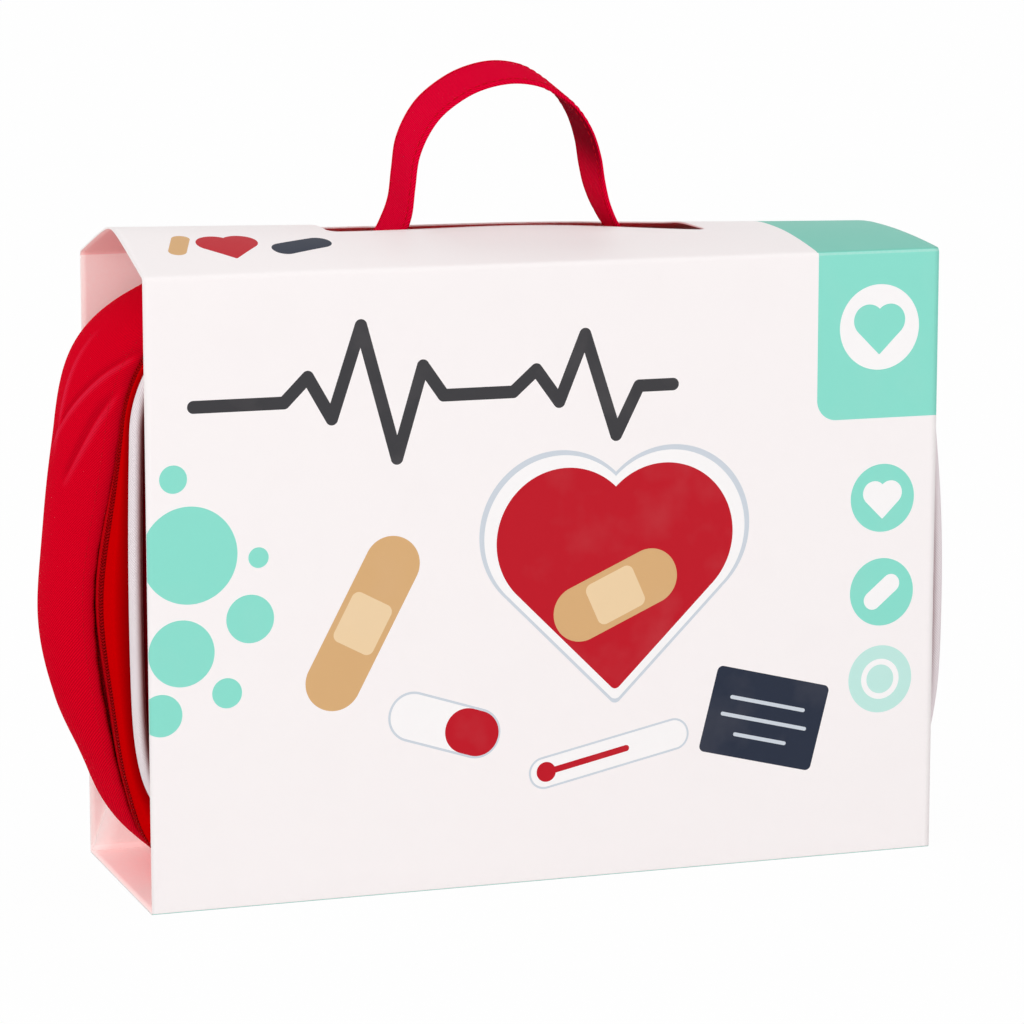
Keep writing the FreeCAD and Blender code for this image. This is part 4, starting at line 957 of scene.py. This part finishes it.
# %% Curves and ribbons
def smooth_through(points, steps):
    """A curve through points: a cubic between each two, with slopes from their neighbours."""
    points = np.asarray(points, float)
    padded = np.concatenate([2 * points[:1] - points[1:2], points, 2 * points[-1:] - points[-2:-1]])
    a, b, c, d = [part[:, None] for part in (padded[:-3], padded[1:-2], padded[2:-1], padded[3:])]
    t = (np.arange(steps) / steps)[None, :, None]
    curve = b + 0.5 * t * (c - a + t * (2 * a - 5 * b + 4 * c - d + t * (3 * (b - c) + d - a)))
    return np.concatenate([curve.reshape(-1, points.shape[1]), points[-1:]])


def flat_section(width, thick, steps=48):
    """A flat section with round edges: a superellipse, width across and thick through."""
    angle = np.arange(steps) * 2 * np.pi / steps
    c, s = np.cos(angle), np.sin(angle)
    across, through = np.sign(c) * np.abs(c) ** 0.35, np.sign(s) * np.abs(s) ** 0.5
    return np.stack([width / 2 * across, thick / 2 * through], -1)


def ribbon(name, line, wide, section, finish, painted_shading=None):
    """A section carried along a line, its width along one direction and its thickness square to both."""
    course = unit(np.gradient(line, axis=0))
    wide = unit(wide - (wide * course).sum(1, keepdims=True) * course)
    face = np.cross(course, wide)
    grid = line[:, None] + section[None, :, :1] * wide[:, None] + section[None, :, 1:] * face[:, None]
    return merge(surface(name, grid, finish, wrap_cols=True, caps=True, painted_shading=painted_shading), outwards=True), wide, face


# %% Strap
PIVOT, LEAN = np.array([0, 6.0, 217.8]), math.radians(10)
STRAP_WIDE, STRAP_THICK, HEM, THREAD_OUT = 25, 1.8, 10.4, 0.74
LOOP = [(-45.5, -9.2), (-40.6, -3.2), (-37.6, 5), (-36.8, 15), (-35.8, 25.5), (-32, 34.8),
        (-26.3, 41.6), (-16.5, 47.8), (-5, 50.6), (5.5, 49.4), (13.5, 45.2), (19.6, 40),
        (24.8, 32.5), (28.2, 23.8), (30.2, 15), (32.8, 6.6), (37.2, -1.6), (44, -8.6)]
lean_up = np.array([0, -math.sin(LEAN), math.cos(LEAN)])
lean_wide = np.array([0, math.cos(LEAN), math.sin(LEAN)])
loop = [PIVOT + [across, 0, 0] + up * lean_up for across, up in LOOP]
foot = np.array([(-71.0, 6, 204.1), (-62, 6, 204.1), (-53, 6, 204.6)])
strap_line = smooth_through([*foot, *loop, *(foot * [-1, 1, 1])[::-1]], 10)
above = np.clip((strap_line[:, 2:] - 205) / 12, 0, 1)
crest = np.exp(-((strap_line[:, :1] - 2) / 22) ** 2) * above
wide = (1 - above) * np.array([0, 1.0, 0]) + above * lean_wide + 0.05 * crest * np.array([0, 0, 1.0])
section = flat_section(STRAP_WIDE, STRAP_THICK)
section[:, 1] *= 1 - 0.22 * np.exp(-((np.abs(section[:, 0]) - HEM) / 0.7) ** 2)
# Painted shade: the underside of the right leg, near the crest, is darkened.
shaded_underside = smooth((strap_line[:, :1] - 8) / 12) * smooth((strap_line[:, 2:] - 228) / 18) * (section[:, 1] < 0)
strap, wide, face = ribbon("carry_strap", strap_line, wide, section, strap_cloth, painted_shading=-0.75 * shaded_underside)
rows = [(strap_line + side * HEM * wide + outer * THREAD_OUT * face, outer * face)
        for side in (-1, 1) for outer in (-1, 1)]
strap_stitches = stitches("strap_stitches", rows, red_thread, pitch=2.8, long=2.0, thick=0.4)
for item in (strap, strap_stitches):
    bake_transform(item)
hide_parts("handle_loop", "handle_feet")
print("strap length", round(float(travelled(strap_line)[-1])), "mm")

# %% Box stitches on the feet
FOOT_X, FOOT_Y, FOOT_TOP = 60, 6, 205.05
corners = np.array([(-10, -10), (10, -10), (10, 10), (-10, 10), (-10, -10), (10, 10)], float)
t = np.linspace(0, 1, 20)[:, None]
cross = np.concatenate([a + (b - a) * t for a, b in zip(corners, corners[1:])])
level_cross = np.concatenate([cross, np.zeros((len(cross), 1))], 1)
boxes = [level_cross + [side * FOOT_X, FOOT_Y, FOOT_TOP] for side in (-1, 1)]
rows = [(box, np.broadcast_to([0.0, 0, 1], box.shape)) for box in boxes]
settle(stitches("foot_stitches", rows, red_thread), "red_webbing")

# %% [markdown]
# ## Front and back panels
# Both panels are cloth over a thin pad and a board, drawn in along their edges by the seam. The
# shape before stuffing is a low dome of rings. A short cloth simulation with pressure fills it out
# while its rim stays sewn, and a cap keeps it inside the sleeve.


# %% Padded panels
def filled_in(ring, steps):
    """Rings that shrink from a closed ring to its middle, at the ring's own depth."""
    middle = np.array([0, ring[0, 1], CENTRE])
    return np.stack([middle + (ring - middle) * [scale, 1, scale] for scale in np.linspace(1, 0, steps)])


def panel_rings(name, rim, seam, face):
    """Rings from the seam to the middle: over 15 mm the depth goes from seam to face by 1 - (1 - t)^2.2."""
    border = np.linspace(0, 1, 10)
    rows = [in_depth(outline(name, rim + 15 * t)[0], seam + (face - seam) * (1 - (1 - t) ** 2.2)) for t in border]
    return np.concatenate([rows, filled_in(rows[-1], 22)[1:]])


def spots_of(mesh):
    """Where a mesh's points are, in metres."""
    spots = np.zeros(3 * len(mesh.vertices))
    mesh.vertices.foreach_get("co", spots)
    return spots.reshape(-1, 3)


def flat_chart(mesh):
    """Lay the map flat on a panel, x and z in metres, so that the weave runs straight across it."""
    corners = np.zeros(len(mesh.loops), np.int32)
    mesh.loops.foreach_get("vertex_index", corners)
    mesh.uv_layers["lengths"].data.foreach_set("uv", spots_of(mesh)[corners][:, [0, 2]].ravel())


def stuffed(name, rings, finish, pinned, push, cap, seam):
    """Fill a sewn shell by pressure: the first rings are pinned, and no point moves further than the cap."""
    # Painted shade: the first rings, at the seam, are darkened, more on the front pad than on the back.
    painted_shading = -seam * smooth(1 - np.arange(len(rings)) / 3.5)[:, None]
    item = face_away(merge(surface(name, rings, finish, wrap_cols=True, painted_shading=painted_shading)), (0, 0, CENTRE))
    flat_chart(item.data)
    rest = spots_of(item.data)
    item.vertex_groups.new(name="sewn").add(list(range(pinned * rings.shape[1])), 1.0, "REPLACE")
    cloth = item.modifiers.new("fill", "CLOTH")
    cloth.settings.vertex_group_mass = "sewn"
    cloth.settings.use_pressure = True
    cloth.settings.uniform_pressure_force = push
    cloth.settings.effector_weights.gravity = 0
    for step in range(1, 16):
        scene.frame_set(step)
    filled = item.evaluated_get(bpy.context.evaluated_depsgraph_get())
    moved = spots_of(filled.to_mesh())
    filled.to_mesh_clear()
    item.modifiers.remove(cloth)
    scene.frame_set(1)
    shift = moved - rest
    size = np.maximum(np.linalg.norm(shift, axis=1, keepdims=True), 1e-9)
    shift *= np.minimum(1, cap / 1000 / size)
    item.data.vertices.foreach_set("co", (rest + shift).ravel())
    item.data.update()
    print(name, "moved by up to", round(1000 * float(np.abs(shift).max()), 2), "mm")
    return item


panels = [("front_pad", panel_rings("front", 4.0, LID_SEAM - 0.4, FRONT + 0.45), 0.35, 1.0, "front_panel"),
          ("back_pad", panel_rings("back", 0.3, BACK_SEAM - 0.1, BACK - 0.7), 0.7, 0.4, "back_panel")]
for name, rings, cap, seam, node in panels:
    pad = stuffed(name, rings, red_cloth, 2, 2.0, cap, seam)
    settle(pad, "red_fabric", node)

# %% [markdown]
# ## Emblem
# A white disc with a red heart is sewn on the front panel. Both are patches with a thick satin
# stitched rim, so one function makes a patch from any closed outline: a bead along the edge, and
# a level face inside it.


# %% Patches
def patch(name, edge, middle, back, proud, bead, finish):
    """Rings from the back of the edge over a half-round bead to the middle, all shrinking towards one point."""
    middle = np.asarray(middle, float)
    bow = np.linspace(0, np.pi, 9)
    shrink = bead / np.linalg.norm(edge - middle, axis=1).max() * (1 - np.cos(bow)) / 2
    inwards = np.concatenate([[0], shrink, [0.5, 0.9, 1]])[:, None, None]
    height = np.concatenate([[0], 0.55 + 0.45 * np.sin(bow), [0.55, 0.55, 0.55]])[:, None]
    flat = middle + (1 - inwards) * (edge - middle)
    grid = upright(flat, back - proud * height)
    return face_away(merge(surface(name, grid, finish, wrap_cols=True)), (middle[0], 0, middle[1]))


def satin(name, colour, shade, rim):
    """Cloth with a rim of close threads laid across the edge: stripes along the map on its first stretch."""
    cloth = Finish(name, Roughness=0.6, Specular_IOR_Level=0.12)
    across, along, _ = cloth.parts(cloth.place("UV"))
    laid = along.wave(0.0007)
    weave = across.wave(0.0006) * 0.5 + laid * 0.25 + 0.25
    stripe = (across < rim) * (laid - weave) + weave
    cloth.feed(cloth.shader, {"Base Color": cloth.mix(stripe, shade, colour)})
    cloth.bump(stripe, 0.00012, 0.7)
    return cloth


DISC_RADIUS, LOBE_RADIUS = 39, 15
turn = np.linspace(0, 2 * np.pi, 121)[:-1]
disc = np.stack([DISC_RADIUS * np.cos(turn), CENTRE + DISC_RADIUS * np.sin(turn)], -1)
half, arc = LOBE_RADIUS / math.sqrt(2), np.linspace(-0.25, 0.75, 40)[:, None] * np.pi
lobe = np.concatenate([half + LOBE_RADIUS * np.cos(arc), half + LOBE_RADIUS * np.sin(arc)], 1)
tip = np.array([0, -2 * half])
right = np.concatenate([tip + np.linspace(0, 1, 24)[:-1, None] * (lobe[0] - tip), lobe])
heart = np.concatenate([right, (right * [-1, 1])[-2:0:-1]]) + [0, CENTRE - 5]
white_satin = satin("white_patch_satin", tint(248, 244, 244), tint(216, 208, 210), 0.004)
red_satin = satin("red_patch_satin", tint(222, 0, 30), tint(170, 0, 20), 0.003)
white_disc = patch("emblem_patch", disc, (0, CENTRE), FRONT + 0.3, 0.75, 3.0, white_satin)
red_heart = patch("heart_patch", heart, (0, CENTRE), FRONT - 0.1, 0.7, 2.2, red_satin)
settle(white_disc, "white_patch", "emblem_disc")
settle(red_heart, "red_fabric", "emblem_heart")

# %% [markdown]
# ## Hinge, tabs and hidden cloth
# Under the case a plain strip joins lid and tray, with a small tab over each end of the zip. Inside
# are linings and a strip that backs the handle's feet. They are thin slabs and shells with soft
# edges, because even hidden cloth should not be a block when the model is taken apart.


# %% Soft slabs
def slab(name, low, high, finish):
    """A thin slab: a superellipse in plan that shrinks by 1 - cos towards its upper and lower rim."""
    low, high = np.array(low, float), np.array(high, float)
    middle, half = (low + high) / 2, (high - low) / 2
    plan, rim = flat_section(2, 2, 96), np.linspace(-np.pi / 2, np.pi / 2, 9)
    shrink = np.concatenate([[0], 1 - (1 - np.cos(rim)) * half[2] / half[:2].max(), [0]])[:, None, None]
    height = np.concatenate([[-1], np.sin(rim), [1]])[:, None, None]
    grid = np.concatenate([plan * shrink, np.broadcast_to(height, (11, 96, 1))], -1)
    return merge(surface(name, middle + grid * half, finish, wrap_cols=True), outwards=True)


TAB_X, TAB_HALF = 92.5, 5.0
hinge = slab("hinge_cloth", (-88.4, ZIP_FRONT - 0.3, 0.8), (88.4, TRAY_SEAM + 0.3, 2.4), red_cloth)
settle(hinge, "red_fabric", "hinge_strip")
for name, middle, nodes in (("zip_end_tab_left", -TAB_X, ["zip_end_tabs"]), ("zip_end_tab_right", TAB_X, [])):
    low, high = (middle - TAB_HALF, ZIP_FRONT - 0.2, 0.75), (middle + TAB_HALF, TRAY_SEAM + 0.2, 2.9)
    settle(slab(name, low, high, red_cloth), "red_fabric", *nodes)
backing = slab("strap_backing", (-73.7, -8.5, 198.5), (73.7, 20.5, 199.5), lining_cloth)
settle(backing, "lining", "handle_patch")

# %% Linings
LINING_STEPS = 14
lid_rows = filled_in(in_depth(outline("front", 3.1)[0], LID_SEAM + 2.15), LINING_STEPS)
lid_lining = merge(surface("lid_lining_cloth", lid_rows, lining_cloth, wrap_cols=True))
face_away(lid_lining, (0, -80, CENTRE))
settle(thicken(lid_lining, 0.6), "lining", "lid_lining")
cup_depths = np.linspace(TRAY_SEAM + 0.4, LINED_BACK, 20)
cup = in_depth(blend_outlines(cup_depths, 2.6, 1)[0], cup_depths[:, None])
cup_rows = np.concatenate([cup, filled_in(cup[-1], LINING_STEPS)[1:]])
tray_lining = merge(surface("tray_lining_cloth", cup_rows, lining_cloth, wrap_cols=True))
face_away(tray_lining, (0, 0, CENTRE))
settle(thicken(tray_lining, 0.6), "lining", "tray_lining")

# %% [markdown]
# ## Ribbon on the zip's pull, and the folded cloth inside
# The pull ends in a short doubled ribbon. Among the instruments lies a small white cloth, folded
# twice. Both are flat sections carried along a bent line.

# %% Ribbon and folded cloth
pull_turn = [(147.0, 17.1), (147.05, 26), (146.95, 35), (146.9, 38.9), (145.93, 40.5), (144.95, 38.9),
             (144.95, 35), (145.6, 27), (146.1, 17.0)]
pull_line = smooth_through([(across, CHAIN, up) for across, up in pull_turn], 8)
pull_wide = np.broadcast_to([0.0, 1, 0], pull_line.shape)
pull_loop = ribbon("pull_loop", pull_line, pull_wide, flat_section(7, 0.55, 24), ribbon_cloth)[0]
settle(pull_loop, "pull_ribbon", "pull_ribbon", body="pull")

bend, rising = np.linspace(0, np.pi, 10)[1:-1], np.linspace(0, 1, 12)
fold_depth = np.concatenate([np.full(12, 26.4), 27.55 - 1.15 * np.cos(bend), np.full(12, 28.7),
                             29.85 - 1.15 * np.cos(bend), np.full(12, 31.0)])
fold_height = np.concatenate([5.4 + 57 * rising, 62.4 + 1.6 * np.sin(bend), 62.4 - 55 * rising,
                              7.4 - 1.6 * np.sin(bend), 7.4 + 57 * rising])
cloth_line = np.stack([np.full(len(fold_depth), 37.3), fold_depth, fold_height], -1)
cloth_wide = np.broadcast_to([1.0, 0, 0], cloth_line.shape)
folded_cloth = ribbon("folded_white_cloth", cloth_line, cloth_wide, flat_section(72, 0.8, 64), soft_cloth)[0]
cloth_length = float(np.linalg.norm(np.diff(cloth_line, axis=0), axis=1).sum()) / 1000
settle(folded_cloth, "white_cloth", "folded_cloth")

# %% [markdown]
# ## Finishes of the hard pieces
# The slider, the boards and the toy instruments are right as the CAD has them. They get finishes
# on Object coordinates: wood with grain along its length, paint that shows a trace of the grain,
# smooth plastic, enamel and printed card.


# %% Wood, paint, plastic and card
def wood(name, light, dark):
    """Lacquered beech: long flecks and slow bands, both stretched along z."""
    item = Finish(name, Roughness=0.5, Specular_IOR_Level=0.3)
    stretched = item.vector("MULTIPLY", item.place(), (1, 1, 0.07))
    grain = item.noise(stretched, 420, 4) * 0.6 + item.noise(stretched, 60, 2) * 0.4
    item.feed(item.shader, {"Base Color": item.mix((grain - 0.3) * 2.2, dark, light),
                            "Roughness": 0.4 + grain * 0.2})
    item.bump(grain, 0.00008, 0.4)
    return item


def painted(name, colour, shade, rough, stretch=0.1):
    """Paint or moulded plastic: a faint mottle in the colour, and a fine skin in the bump."""
    item = Finish(name, Roughness=rough, Coat_Weight=0.2)
    spot = item.vector("MULTIPLY", item.place(), (1, 1, stretch))
    skin = item.noise(spot, 300, 3)
    item.feed(item.shader, {"Base Color": item.mix(skin, shade, colour),
                            "Roughness": rough - 0.05 + skin * 0.12})
    item.bump(skin, 0.00003, 0.5)
    return item


finishes = {
    "plain_wood": wood("plain_beech", tint(226, 186, 134), tint(190, 140, 88)),
    "red_wood": painted("red_painted_wood", tint(206, 8, 24), tint(184, 4, 18), 0.3),
    "white_wood": painted("white_painted_wood", tint(246, 244, 240), tint(232, 228, 222), 0.32),
    "white_plastic": painted("white_moulded_plastic", tint(244, 244, 244), tint(234, 235, 237), 0.28, 1),
    "red_plastic": painted("red_moulded_plastic", tint(212, 10, 26), tint(196, 6, 20), 0.28, 1),
    "zip_metal": painted("red_enamel", tint(170, 6, 24), tint(140, 2, 16), 0.3, 1),
    "card_print": painted("navy_card", tint(38, 46, 66), tint(24, 30, 46), 0.5, 1),
    "stiff_board": fibrous("grey_board", tint(176, 166, 152), tint(206, 198, 186), 900)[0],
    "paper": fibrous("white_card", tint(236, 238, 240), tint(250, 250, 250), 800)[0],
}
dressed = [part for part in frame["record"]["subparts"] if part["material_slot"] in finishes]
for part in dressed:
    frame["nodes"][part["node"]].material_slots[0].material = finishes[part["material_slot"]].block
print("finished as they are:", ", ".join(part["node"] for part in dressed))
